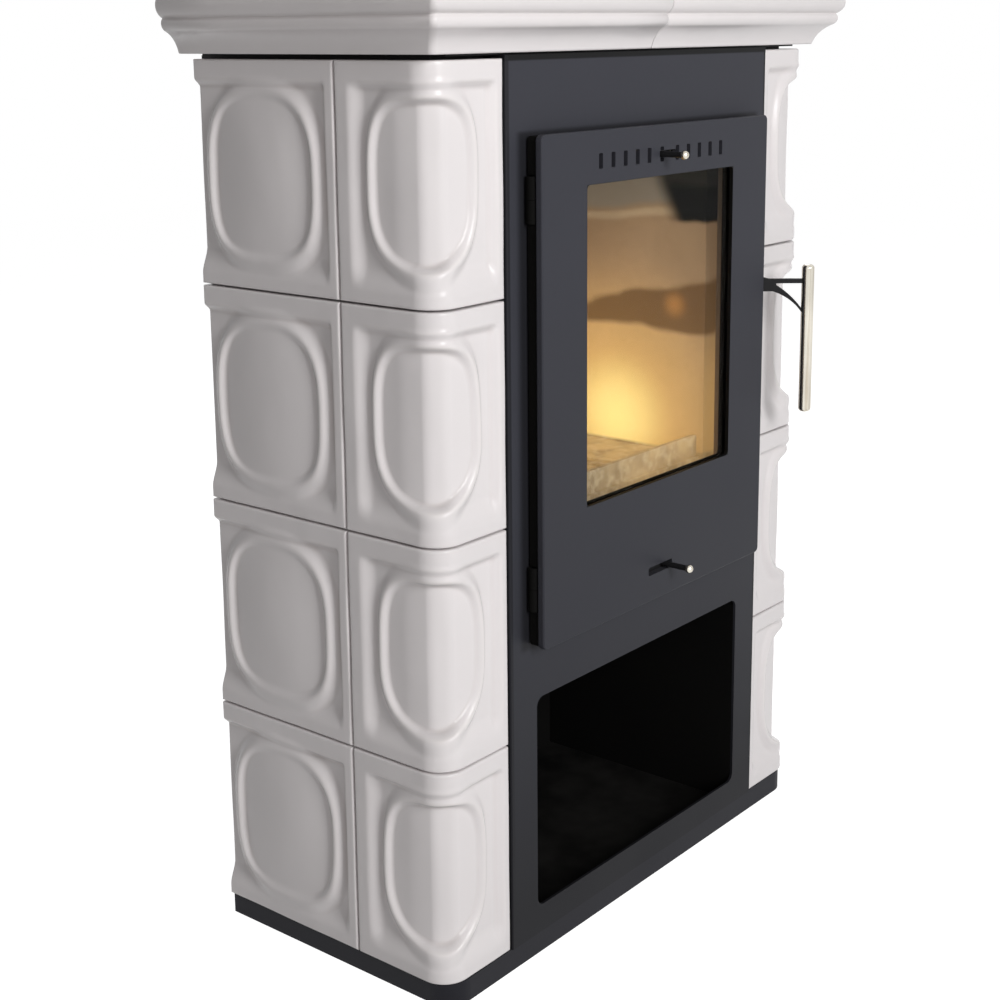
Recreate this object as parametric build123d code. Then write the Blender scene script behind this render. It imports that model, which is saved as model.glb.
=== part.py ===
from build123d import *
import math
import os

# Tiled stove with a glazed fire door over an open wood store.
# Lengths are in millimetres. X runs to the right seen from the front, Z up.
# While modelling, Y = 0 is the face of the front tiles and Y grows to the back;
# save() then puts the origin at the centre of the plinth's underside.

# ---- driving dimensions ----
body_width = 650.0          # outer faces of the side tiles
plinth_height = 24.0
plinth_wall = 3.0
plinth_side_inset = 5.0     # plinth behind the faces of the side tiles
plinth_rim = 14.0           # plinth's top flange inside the casing
row_pitch = 220.0           # one row of stove tiles
row_count = 4
tile_joint = 2.0
flat_tile_width = 188.0
corner_side_width = 118.0   # part of a corner tile on the stove's side
corner_front_width = 96.0   # part of a corner tile on the stove's front
corner_radius = 28.0
tile_thickness = 24.0

# tile relief
edge_band = 19.0            # flat bands along the tile's top and bottom
joint_band = 17.0           # and along its front edge
field_depth = 7.0
field_corner = 10.0
ring_width = 149.0          # outer outline of the raised ring
ring_height = 164.0
ring_band = 11.0
ring_rise = 6.5
ring_bulge = 7.0            # how far each side of the ring bows out
ring_corner = 44.0
ring_run = 3.0              # width of the ring's sloping flanks
ring_inset = 13.0           # from a flat tile's rear edge
medal_rise = 3.5
edge_chamfer = 1.2

# steel body
sheet = 2.0
rear_depth = 14.0           # casing behind the last side tile
panel_thickness = 3.0
panel_proud = 2.0           # front panel ahead of the tile faces
panel_gap = 1.0
flange_reach = tile_thickness
corner_return = 104.0       # casing fold behind the front tiles

# cornice
cornice_gap = 5.0           # shadow gap between the tiles and the cornice
cornice_height = 59.0
cornice_inside = 52.0       # how far the cornice reaches in over the body
cornice_joint = 1.0
cover_thickness = 4.0
cover_ledge = 12.0
support_thickness = 2.0

# fire door
door_margin = 27.0          # front panel left and right of the door
door_height = 496.0
door_below_tiles = 69.0     # door's top below the tiles' top
slab_thickness = 8.0
slab_edge_radius = 1.8
slab_corner = 6.0
door_gap = 12.0             # air between the slab and the front panel
glass_margin_side = 70.0    # door slab around the glass opening
glass_margin_top = 51.0
glass_margin_bottom = 129.0
glass_opening_corner = 5.0
glass_thickness = 4.0
glass_corner = 8.0
glass_lap = 9.0             # pane past the opening at the sides
glass_lap_ends = 6.0        # and at its top and bottom
glass_rebate = 4.0          # step around the opening at the back of the slab
rebate_clearance = 1.0
gasket_width = 5.0
gasket_thickness = 1.0
frame_inset_side = 26.0
frame_inset_top = 11.0
frame_inset_bottom = 17.0
frame_wall = 3.0
frame_depth = 24.0
frame_clearance = 4.0       # inner frame to the hole in the front panel
core_inset = 1.5            # black core inside the slab's outline
core_depth = 10.0
rope_radius = 5.0
rope_lip = 12.0
running_gap = 0.3

# air slots in the door
vent_count_side = 5
vent_pitch = 20.5
vent_first = 25.0           # first slot from the middle of the row
vent_width = 6.5
vent_height = 15.0
vent_middle = -2.0          # middle of the row of slots
vent_drop = 29.5            # row of slots below the door's top
upper_slot_left = -9.0
upper_slot_right = 20.0
upper_slot_height = 7.5
lower_slot_width = 44.0
lower_slot_height = 9.0
slide_plate = 2.0
slide_height = 22.0
lower_slide_height = 18.0
guide_lip = 1.5
guide_wall = 3.2
upper_rod_x = -4.5
upper_travel = 13.0
lower_rise = 33.0           # lower lever above the door's bottom
lower_rod_x = 14.0
lower_travel = 28.0
lower_slide_length = 96.0
rod_radius = 3.0
rod_reach = 23.0            # rod in front of the slab
knob_radius = 4.5

# door hinges and handle
axis_ahead = 6.0            # pin axes in front of the front panel
hinge_inset = 2.5           # hinge axis from the slab's left edge
knuckle_radius = 5.5
pin_radius = 3.0
pin_clearance = 0.04
knuckle_height = 22.0
hinge_from_edge = 60.0
leaf_thickness = 3.0
leaf_length = 17.0
handle_inset = 4.0          # handle pivot from the slab's right edge
arm_drop = 187.0            # middle of the arm's root below the door's top
arm_height = 18.0
arm_thickness = 5.0
arm_root_reach = 9.0
grip_out = 45.0             # grip from the pivot, sideways
grip_ahead = 46.0           # grip from the pivot, forwards
grip_radius = 7.0
grip_above = 21.0           # grip above and below the middle of the arm's root
grip_below = 147.0
prong = 5.0
brace_drop = 36.0
fork_start = 19.0
hook_reach = 24.0
hook_nose = 6.4
hook_thickness = 4.5
keeper_gap = 0.6
bracket_lug = 3.6

# wood store
store_margin = 41.0         # front panel left and right of the opening
store_bottom = 53.5
store_below_door = 58.0
store_depth = 270.0
store_corner = 10.0

# firebox
firebox_margin = 54.0       # front panel outside the firebox walls
firebox_depth = 226.0
firebox_rise = 21.0         # firebox floor above the door's bottom
firebox_below_top = 40.0    # firebox top below the tiles' top
firebox_wall = 4.0
fire_opening_drop = 38.0    # below the door's top
lining_thickness = 25.0
bed_below_glass = 11.0      # top of the base bricks below the glass opening
bed_thickness = 25.0
grate_width = 150.0
grate_depth = 110.0
grate_thickness = 15.0
grate_slots = 7
grate_slot_width = 9.0
grate_play = 1.0
grate_ledge = 8.0
baffle_thickness = 20.0
baffle_front_gap = 36.0
pan_margin = 56.0           # firebox walls left and right of the ash pan
pan_depth = 180.0
pan_height = 58.0
pan_wall = 1.5
pan_clearance = 1.0
guard_height = 24.0
guard_thickness = 5.0

# flue and combustion air
flue_bore_radius = 75.5     # takes a 150 mm flue pipe
flue_wall = 3.0
flue_depth_place = 150.0    # flue axis behind the front tiles
flue_flange = 14.0
flue_sunk = 1.0             # flue rim below the top of the cornice
air_bore_radius = 50.3      # takes a 100 mm air pipe
air_wall = 1.5
air_reach = 30.0
air_level = 170.0
duct_width = 130.0
duct_depth = 50.0
rear_slot_count = 9
rear_slot_pitch = 44.0
rear_slot_length = 70.0
rear_slot_width = 6.0
cover_slot_count = 7
cover_slot_pitch = 14.0

# ---- sizes worked out from them ----
tile_height = row_pitch - tile_joint
tiles_top = plinth_height + row_count * row_pitch - tile_joint
side_depth = corner_side_width + tile_joint + flat_tile_width
half = body_width / 2
casing_half = half - tile_thickness
casing_top = tiles_top + 3.0
cornice_bottom = tiles_top + cornice_gap
cornice_top = cornice_bottom + cornice_height
rear_plane = side_depth + rear_depth
body_depth = rear_plane
flue_top = cornice_top - flue_sunk
panel_half = half - corner_front_width - panel_gap
panel_front = -panel_proud
panel_back = panel_front + panel_thickness
slab_back = panel_front - door_gap
slab_front = slab_back - slab_thickness
door_half = panel_half - door_margin
door_width = 2 * door_half
door_top = tiles_top - door_below_tiles
door_bottom = door_top - door_height
glass_opening_width = door_width - 2 * glass_margin_side
glass_opening_height = door_height - glass_margin_top - glass_margin_bottom
glass_opening_bottom = door_bottom + glass_margin_bottom
glass_width = glass_opening_width + 2 * glass_lap
glass_height = glass_opening_height + 2 * glass_lap_ends
vent_level = door_top - vent_drop
lower_level = door_bottom + lower_rise
arm_level = door_top - arm_drop
grip_top = arm_level + grip_above
grip_bottom = arm_level - grip_below
store_half = panel_half - store_margin
store_width = 2 * store_half
store_top = door_bottom - store_below_door
frame_half = door_half - frame_inset_side
frame_bottom = door_bottom + frame_inset_bottom
frame_top = door_top - frame_inset_top
frame_back = slab_back + frame_depth
rope_back = frame_back + 2 * rope_radius
firebox_front_face = rope_back + running_gap
firebox_inner_front = tile_thickness
firebox_half = panel_half - firebox_margin
firebox_bottom = door_bottom + firebox_rise
firebox_top_level = tiles_top - firebox_below_top
fire_opening_half = firebox_half - firebox_wall - lining_thickness
fire_opening_top = door_top - fire_opening_drop
bed_level = glass_opening_bottom - bed_below_glass
pan_width = 2 * (firebox_half - pan_margin)
firebox_back = firebox_inner_front + firebox_depth
lining_half = firebox_half - firebox_wall
lining_back = firebox_back - firebox_wall
glass_front = slab_back - glass_rebate + gasket_thickness
glass_back = glass_front + glass_thickness
hinge_x = -door_half + hinge_inset
axis_y = panel_front - axis_ahead
handle_x = door_half - handle_inset
vent_offsets = [vent_first + i * vent_pitch for i in range(vent_count_side)]
vent_places = sorted([vent_middle - v for v in vent_offsets] + [vent_middle + v for v in vent_offsets])

solids = {}


def block(x0, x1, y0, y1, z0, z1):
    """A box from its low corner to its high corner."""
    return Pos((x0 + x1) / 2, (y0 + y1) / 2, (z0 + z1) / 2) * Box(x1 - x0, y1 - y0, z1 - z0)


def upright(radius, x, y, z0, z1):
    """A vertical round bar."""
    return Pos(x, y, (z0 + z1) / 2) * Cylinder(radius, z1 - z0)


def along_y(radius, x, z, y0, y1):
    """A round bar that runs from front to back."""
    return Pos(x, (y0 + y1) / 2, z) * (Rot(90, 0, 0) * Cylinder(radius, y1 - y0))


def front_window(width, height, corner, x, z, y0, y1):
    """A rounded rectangle on the front, as a solid from y0 back to y1."""
    outline = Plane(origin=(x, y0, z), x_dir=(1, 0, 0), z_dir=(0, 1, 0)) * RectangleRounded(width, height, corner)
    return extrude(outline, y1 - y0, dir=(0, 1, 0))


def plan_prism(points, z0, z1):
    """An outline in plan, carried up from z0 to z1."""
    face = Pos(0, 0, z0) * make_face(Polyline(*points, close=True))
    return extrude(face, z1 - z0, dir=(0, 0, 1))


def save(name, shape):
    """Keep a finished sub-part under its node's name, in the stove's own frame."""
    solids[name] = Pos(0, -body_depth / 2, 0) * shape


# ---- plinth ----
def make_plinth():
    def footprint(inset, z0, z1):
        side = half - plinth_side_inset - inset
        body = block(-side, side, inset, side_depth - inset, z0, z1)
        body = fillet(body.edges().filter_by(Axis.Z).sort_by(Axis.Y)[:2], corner_radius - inset)
        rear = casing_half - inset
        return body + block(-rear, rear, side_depth - inset - 1, rear_plane - inset, z0, z1)

    tray = footprint(0, 0, plinth_height)
    tray = tray - footprint(plinth_wall, sheet, plinth_height - plinth_wall)
    mouth = block(-casing_half + plinth_rim, casing_half - plinth_rim, tile_thickness + plinth_rim,
                  rear_plane - plinth_rim, plinth_height - 2 * plinth_wall, plinth_height + 1)
    save("plinth", tray - mouth)


# ---- tiles ----
def ring_outline(width, height, inset, corner):
    """The bowed outline of the raised ring: four shallow arcs joined by round corners, in a local XY plane."""
    a = width / 2 - inset
    b = height / 2 - inset
    s = ring_bulge
    sides = [
        ThreePointArc((-a + s, -b + s), (0, -b), (a - s, -b + s)),
        ThreePointArc((a - s, -b + s), (a, 0), (a - s, b - s)),
        ThreePointArc((a - s, b - s), (0, b), (-a + s, b - s)),
        ThreePointArc((-a + s, b - s), (-a, 0), (-a + s, -b + s)),
    ]
    face = make_face(sides)
    return fillet(face.vertices(), corner - inset)


def ring_relief(floor_z):
    """Ring and medallion in a local frame: XY along the tile, Z out of its face, floor_z is the field's level."""
    def contour(inset, rise):
        return Pos(0, 0, floor_z + rise) * ring_outline(ring_width, ring_height, inset, ring_corner)

    ridge = loft([contour(0, 0), contour(ring_run, ring_rise)], ruled=True)
    hollow = loft([contour(ring_band - ring_run, ring_rise), contour(ring_band, medal_rise)], ruled=True)
    return ridge - hollow


def flat_tile():
    """A flat side tile in a local frame: X along the stove's side towards the front, Y up, Z out of the face."""
    plate = Pos(flat_tile_width / 2, tile_height / 2, -tile_thickness / 2) * Box(
        flat_tile_width, tile_height, tile_thickness)
    plate = chamfer(plate.faces().sort_by(Axis.Z)[-1].edges(), edge_chamfer)
    # the field runs out at the rear edge, like a tile cut to width
    field_length = flat_tile_width - joint_band + field_corner
    field_height = tile_height - 2 * edge_band
    pocket = Pos(field_length / 2 - field_corner, tile_height / 2, -field_depth) * extrude(
        RectangleRounded(field_length, field_height, field_corner), 2 * field_depth)
    ring = Pos(ring_inset + ring_width / 2, tile_height / 2, 0) * ring_relief(-field_depth)
    return plate - pocket + ring


def make_flat_tiles():
    left_face = Plane(origin=(-half, side_depth, 0), x_dir=(0, -1, 0), z_dir=(-1, 0, 0))
    tile = left_face * flat_tile()
    for row in range(row_count):
        placed = Pos(0, 0, plinth_height + row * row_pitch) * tile
        save(f"tile_left_{row + 1}", placed)
        save(f"tile_right_{row + 1}", mirror(placed, Plane.YZ))


def corner_body(depth, height):
    """The room behind a corner tile's face, from a depth below that face; rounded at the stove's corner."""
    body = block(depth, corner_front_width, depth, corner_side_width, 0, height)
    return fillet(nearest_edge(body, depth, depth), corner_radius - depth)


def nearest_edge(shape, x, y):
    """The upright edge of a shape that stands at a place in plan."""
    return min(shape.edges().filter_by(Axis.Z), key=lambda e: abs(e.center().X - x) + abs(e.center().Y - y))


def corner_tile():
    """The front left corner tile: its corner in plan at the origin, side along Y, front along X, Z up."""
    face = corner_body(0, tile_height)
    shell = face - block(tile_thickness, corner_front_width, tile_thickness, corner_side_width, 0, tile_height)
    below_field = corner_body(field_depth, tile_height)
    ring_layer = corner_body(field_depth - ring_rise, tile_height) - below_field
    medal_layer = corner_body(field_depth - medal_rise, tile_height) - below_field
    # outlines are cut along the corner's diagonal, so both faces see them stretched alike
    shrink = 1 / math.sqrt(2)
    diagonal = Plane(origin=(0, 0, 0), x_dir=(1, -1, 0), z_dir=(-1, -1, 0))
    side_u = -(corner_side_width - joint_band) * shrink
    front_u = (corner_front_width - joint_band / 2) * shrink
    field_height = tile_height - 2 * edge_band
    place = Pos((side_u + front_u) / 2, tile_height / 2, 0)

    def diagonal_prism(outline):
        return extrude(diagonal * (place * outline), corner_side_width, both=True)

    window = diagonal_prism(RectangleRounded(front_u - side_u, field_height, field_corner * shrink))
    ring_outer = diagonal_prism(ring_outline(ring_width * shrink, ring_height, 0, ring_corner * shrink))
    ring_inner = diagonal_prism(ring_outline(ring_width * shrink, ring_height, ring_band * shrink,
                                             ring_corner * shrink))
    tile = shell - ((face - below_field) & window)
    tile = tile + (ring_layer & (ring_outer - ring_inner))
    return tile + (medal_layer & ring_inner)


def make_corner_tiles():
    tile = Pos(-half, 0, 0) * corner_tile()
    for row in range(row_count):
        placed = Pos(0, 0, plinth_height + row * row_pitch) * tile
        save(f"corner_left_{row + 1}", placed)
        save(f"corner_right_{row + 1}", mirror(placed, Plane.YZ))


# ---- cornice and top ----
def cornice_profile():
    """Half section of the moulding: first number is the overhang past the tile face, second the height."""
    inner = -cornice_inside
    outline = [
        Line((inner, 0), (4.5, 0)),
        ThreePointArc((4.5, 0), (9.8, 11.5), (19.5, 21)),
        Line((19.5, 21), (21.5, 22)),
        ThreePointArc((21.5, 22), (25.6, 28.5), (23.8, 36.3)),
        Line((23.8, 36.3), (26, 37.6)),
        ThreePointArc((26, 37.6), (31.5, 49), (20, cornice_height)),
        Line((20, cornice_height), (inner + cover_ledge, cornice_height)),
        Line((inner + cover_ledge, cornice_height), (inner + cover_ledge, cornice_height - cover_thickness)),
        Line((inner + cover_ledge, cornice_height - cover_thickness), (inner, cornice_height - cover_thickness)),
        Line((inner, cornice_height - cover_thickness), (inner, 0)),
    ]
    return make_face(outline)


def make_cornice():
    rear_end = rear_plane
    section = cornice_profile()
    side_plane = Plane(origin=(-half, rear_end, cornice_bottom), x_dir=(-1, 0, 0), z_dir=(0, 1, 0))
    front_plane = Plane(origin=(-cornice_joint / 2, 0, cornice_bottom), x_dir=(0, -1, 0), z_dir=(-1, 0, 0))
    overhang = cornice_inside
    side_run = extrude(side_plane * section, rear_end + overhang, dir=(0, -1, 0))
    front_run = extrude(front_plane * section, half + overhang, dir=(-1, 0, 0))
    far = 2 * body_width
    z0 = cornice_bottom - 1
    z1 = cornice_top + 1
    # the mitre stands on the line from the body's corner straight out at 45 degrees
    side_keep = plan_prism([(-half - far, -far), (-half + far, far), (-half - far, far)], z0, z1)
    front_keep = plan_prism([(-half - far, -far), (-half + far, -far), (-half + far, far)], z0, z1)
    left = (side_run & side_keep) + (front_run & front_keep)
    save("cornice_left", left)
    save("cornice_right", mirror(left, Plane.YZ))


def flue_hole(z0, z1):
    return upright(flue_bore_radius + flue_wall + 1.0, 0, flue_depth_place, z0, z1)


def make_top():
    support = block(-casing_half + 1, casing_half - 1, 6, rear_plane, casing_top, casing_top + support_thickness)
    support = support - flue_hole(casing_top - 1, cornice_bottom + 1)
    save("cornice_support", support)

    ledge_half = half - cornice_inside + cover_ledge - cornice_joint / 2
    cover_front = cornice_inside - cover_ledge + cornice_joint / 2
    cover = block(-ledge_half, ledge_half, cover_front, rear_plane,
                  cornice_top - cover_thickness, cornice_top)
    cover = cover - flue_hole(cornice_top - 2 * cover_thickness, cornice_top + 1)
    skirt_half = half - cornice_inside
    cover = cover + block(-skirt_half, skirt_half, rear_plane - sheet, rear_plane, cornice_bottom,
                          cornice_top - cover_thickness)
    for i in range(cover_slot_count):
        place = flue_depth_place + (i - (cover_slot_count - 1) / 2) * cover_slot_pitch
        for side in (-1, 1):
            middle = side * (flue_bore_radius + ledge_half) / 2
            slot = Pos(middle, place, cornice_top - cover_thickness / 2) * extrude(
                SlotOverall(rear_slot_length, rear_slot_width), cover_thickness, both=True)
            cover = cover - slot
    save("top_cover", cover)

    outer = flue_bore_radius + flue_wall
    collar = upright(outer, 0, flue_depth_place, firebox_top_level, flue_top)
    collar = collar + upright(outer + flue_flange, 0, flue_depth_place, firebox_top_level, firebox_top_level + 2 * sheet)
    collar = collar - upright(flue_bore_radius, 0, flue_depth_place, firebox_top_level - 1, flue_top + 1)
    save("flue_collar", collar)


# ---- casing ----
def make_casing():
    side = block(-casing_half, -casing_half + sheet, tile_thickness, rear_plane - sheet, plinth_height, casing_top)
    fold = block(-casing_half, -casing_half + corner_return, tile_thickness, tile_thickness + sheet,
                 plinth_height, casing_top)
    left = side + fold
    save("casing_left", left)
    save("casing_right", mirror(left, Plane.YZ))

    rear = block(-casing_half, casing_half, rear_plane - sheet, rear_plane, plinth_height, casing_top)
    rear = rear - along_y(air_bore_radius + air_wall + 0.5, 0, air_level, rear_plane - 2 * sheet, rear_plane + 1)
    for i in range(rear_slot_count):
        level = air_level + 4 * rear_slot_pitch + i * rear_slot_pitch
        for column in (-1, 0, 1):
            face = Plane(origin=(column * 1.9 * rear_slot_length, rear_plane, level), x_dir=(1, 0, 0), z_dir=(0, 1, 0))
            rear = rear - extrude(face * SlotOverall(rear_slot_length, rear_slot_width), 2 * sheet, both=True)
    save("rear_cover", rear)


def make_front_panel():
    top = casing_top
    panel = block(-panel_half, panel_half, panel_front, panel_back, plinth_height, top)
    for side in (-1, 1):
        x0, x1 = sorted((side * panel_half, side * (panel_half - panel_thickness)))
        panel = panel + block(x0, x1, panel_front, flange_reach, plinth_height, top)
    edges = [nearest_edge(panel, -panel_half, panel_front), nearest_edge(panel, panel_half, panel_front)]
    panel = fillet(edges, 1.5)
    door_hole_half = frame_half + frame_clearance
    hole_bottom = frame_bottom - frame_clearance
    hole_top = frame_top + frame_clearance
    door_hole = front_window(2 * door_hole_half, hole_top - hole_bottom, 6, 0, (hole_top + hole_bottom) / 2,
                             panel_front - 1, panel_back + 1)
    store_hole = front_window(store_width, store_top - store_bottom, store_corner, 0, (store_top + store_bottom) / 2,
                              panel_front - 1, panel_back + 1)
    panel = panel - door_hole - store_hole
    # slot for the handle's hook, and the keeper that the hook's nose catches
    nose_tip = handle_x - hook_nose
    hook_slot = block(nose_tip - 1.5, handle_x + 9, panel_front - 1, panel_back + 1,
                      arm_level - arm_height / 2 - 2, arm_level + arm_height / 2 + 2)
    keeper = block(nose_tip - keeper_gap - 10, nose_tip - keeper_gap, panel_back, panel_back + 8,
                   arm_level - arm_height, arm_level + arm_height)
    save("front_panel", panel - hook_slot)
    save("latch_keeper", keeper)


# ---- wood store ----
def make_store():
    wall = 2 * sheet
    outer_half = store_half + wall
    liner = block(-outer_half, outer_half, panel_back, store_depth, plinth_height, store_top + wall)
    room = block(-store_half, store_half, panel_back - 1, store_depth + 1, plinth_height + wall, store_top)
    save("store_liner", liner - room)
    save("store_rear", block(-outer_half, outer_half, store_depth, store_depth + sheet,
                             plinth_height, store_top + wall))


# ---- firebox ----
def make_firebox():
    opening_bottom = firebox_bottom + firebox_wall
    lap = casing_half - corner_return + 10
    front = block(-lap, lap,
                  firebox_front_face, firebox_inner_front, firebox_bottom - 20, firebox_top_level)
    front = front - block(-fire_opening_half, fire_opening_half, 0, firebox_inner_front + 1,
                          opening_bottom, fire_opening_top)
    save("firebox_front", front)

    left = block(-firebox_half, -lining_half, firebox_inner_front, firebox_back, firebox_bottom,
                 firebox_top_level - firebox_wall)
    save("firebox_left", left)
    save("firebox_right", mirror(left, Plane.YZ))
    save("firebox_rear", block(-lining_half, lining_half, lining_back, firebox_back, firebox_bottom,
                               firebox_top_level - firebox_wall))
    top = block(-firebox_half, firebox_half, firebox_inner_front, firebox_back,
                firebox_top_level - firebox_wall, firebox_top_level)
    top = top - upright(flue_bore_radius + flue_wall, 0, flue_depth_place, firebox_top_level - 2 * firebox_wall,
                        firebox_top_level + 1)
    save("firebox_top", top)

    # floor plate with two upright strips that flank the ash pan and carry the base bricks
    floor_top = firebox_bottom + firebox_wall
    floor = block(-lining_half, lining_half, firebox_inner_front, lining_back, firebox_bottom, floor_top)
    strip_inner = pan_width / 2 + pan_clearance + 1
    for side in (-1, 1):
        x0, x1 = sorted((side * strip_inner, side * (strip_inner + firebox_wall)))
        floor = floor + block(x0, x1, firebox_inner_front, lining_back, floor_top, bed_level - bed_thickness)
    air_hole = upright(duct_depth / 2 - 2 * sheet, 0, lining_back - duct_depth / 2, firebox_bottom - 1, floor_top + 1)
    save("firebox_floor", floor - air_hole)


def make_lining():
    lining_front = firebox_inner_front
    baffle_bottom = fire_opening_top + 5
    bed_bottom = bed_level - bed_thickness
    left = block(-lining_half, -lining_half + lining_thickness, lining_front, lining_back,
                 bed_level, baffle_bottom)
    save("lining_left", left)
    save("lining_right", mirror(left, Plane.YZ))
    inner_half = lining_half - lining_thickness
    save("lining_rear", block(-inner_half, inner_half, lining_back - lining_thickness, lining_back,
                              bed_level, baffle_bottom))
    # base bricks with a stepped hole for the grate
    grate_middle = (lining_front + lining_back - lining_thickness) / 2
    base = block(-lining_half, lining_half, lining_front, lining_back, bed_bottom, bed_level)
    seat_half = grate_width / 2 + grate_play
    seat_depth = grate_depth / 2 + grate_play
    base = base - block(-seat_half, seat_half, grate_middle - seat_depth, grate_middle + seat_depth,
                        bed_level - grate_thickness, bed_level + 1)
    base = base - block(-seat_half + grate_ledge, seat_half - grate_ledge, grate_middle - seat_depth + grate_ledge,
                        grate_middle + seat_depth - grate_ledge, bed_bottom - 1, bed_level)
    save("lining_base", base)

    grate = block(-grate_width / 2, grate_width / 2, grate_middle - grate_depth / 2, grate_middle + grate_depth / 2,
                  bed_level - grate_thickness, bed_level)
    pitch = (grate_width - 2 * grate_ledge) / grate_slots
    for i in range(grate_slots):
        x = (i - (grate_slots - 1) / 2) * pitch
        slot = Pos(x, grate_middle, bed_level) * extrude(
            SlotOverall(grate_depth - 3 * grate_ledge, grate_slot_width, rotation=90), 2 * grate_thickness, both=True)
        grate = grate - slot
    save("grate", grate)

    save("baffle", block(-lining_half, lining_half, lining_front + baffle_front_gap, lining_back,
                         baffle_bottom, baffle_bottom + baffle_thickness))

    guard = front_window(2 * inner_half - 2, guard_height, 4, 0, bed_level + guard_height / 2,
                         lining_front + 4, lining_front + 4 + guard_thickness)
    save("log_guard", guard)

    floor_top = firebox_bottom + firebox_wall
    pan_front = firebox_inner_front + 4
    pan = block(-pan_width / 2, pan_width / 2, pan_front, pan_front + pan_depth, floor_top, floor_top + pan_height)
    room = block(-pan_width / 2 + pan_wall, pan_width / 2 - pan_wall, pan_front + pan_wall,
                 pan_front + pan_depth - pan_wall, floor_top + pan_wall, floor_top + pan_height + 1)
    save("ash_pan", pan - room)


def make_air_duct():
    """Duct from the spigot in the rear cover up to the hole in the firebox floor."""
    front = store_depth + sheet + 2
    back = rear_plane - sheet
    low = air_level - duct_width / 2
    high = firebox_bottom
    duct = block(-duct_width / 2, duct_width / 2, front, back, low, high)
    neck_front = lining_back - duct_depth
    duct = duct + block(-duct_width / 2, duct_width / 2, neck_front, front + 1, high - duct_depth, high)
    hollow = block(-duct_width / 2 + sheet, duct_width / 2 - sheet, front + sheet, back - sheet, low + sheet, high - sheet)
    hollow = hollow + block(-duct_width / 2 + sheet, duct_width / 2 - sheet, neck_front + sheet, front + 2 * sheet,
                            high - duct_depth + sheet, high - sheet)
    duct = duct + along_y(air_bore_radius + air_wall, 0, air_level, back - 1, rear_plane + air_reach)
    duct = duct - hollow
    duct = duct - along_y(air_bore_radius, 0, air_level, back - 2 * sheet, rear_plane + air_reach + 1)
    duct = duct - upright(duct_depth / 2 - 2 * sheet, 0, lining_back - duct_depth / 2, high - 2 * sheet, high + 1)
    save("air_duct", duct)


# ---- hinges ----
def hinge_levels():
    return (door_bottom + hinge_from_edge, door_top - hinge_from_edge)


def knuckle(z0, z1, leaf_y0, leaf_y1, bore):
    part = upright(knuckle_radius, hinge_x, axis_y, z0, z1)
    part = part + block(hinge_x, hinge_x + leaf_length, leaf_y0, leaf_y1, z0, z1)
    return part - upright(bore, hinge_x, axis_y, z0 - 1, z1 + 1)


def make_hinges():
    brackets = Part()
    leaves = Part()
    for level in hinge_levels():
        brackets = brackets + knuckle(level - knuckle_height, level, panel_front - leaf_thickness, panel_front,
                                      pin_radius)
        leaves = leaves + knuckle(level + running_gap, level + knuckle_height, slab_back,
                                  slab_back + leaf_thickness, pin_radius + pin_clearance)
        brackets = brackets + upright(pin_radius, hinge_x, axis_y, level - knuckle_height, level + knuckle_height - 2)
    save("hinge_brackets", brackets)
    save("door_hinges", leaves)


# ---- door ----
def make_door_slab():
    middle = (door_bottom + door_top) / 2
    slab = front_window(door_width, door_height, slab_corner, 0, middle, slab_front, slab_back)
    rims = slab.edges().group_by(Axis.Y)
    slab = fillet(rims[0] + rims[-1], slab_edge_radius)
    slab = slab - front_window(glass_opening_width, glass_opening_height, glass_opening_corner, 0,
                               glass_opening_bottom + glass_opening_height / 2, slab_front - 1, slab_back + 1)
    slab = slab - front_window(glass_width + 2 * rebate_clearance, glass_height + 2 * rebate_clearance,
                               glass_corner + rebate_clearance, 0, glass_opening_bottom + glass_opening_height / 2,
                               slab_back - glass_rebate, slab_back + 1)
    for x in vent_places + [upper_rod_x]:
        slab = slab - front_window(vent_width, vent_height, 1.5, x, vent_level, slab_front - 1, slab_back + 1)
    slab = slab - front_window(upper_slot_right - upper_slot_left, upper_slot_height, 2,
                               (upper_slot_left + upper_slot_right) / 2, vent_level, slab_front - 1, slab_back + 1)
    slab = slab - front_window(lower_slot_width, lower_slot_height, 2, 0, lower_level, slab_front - 1, slab_back + 1)
    save("door_slab", slab)


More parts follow.
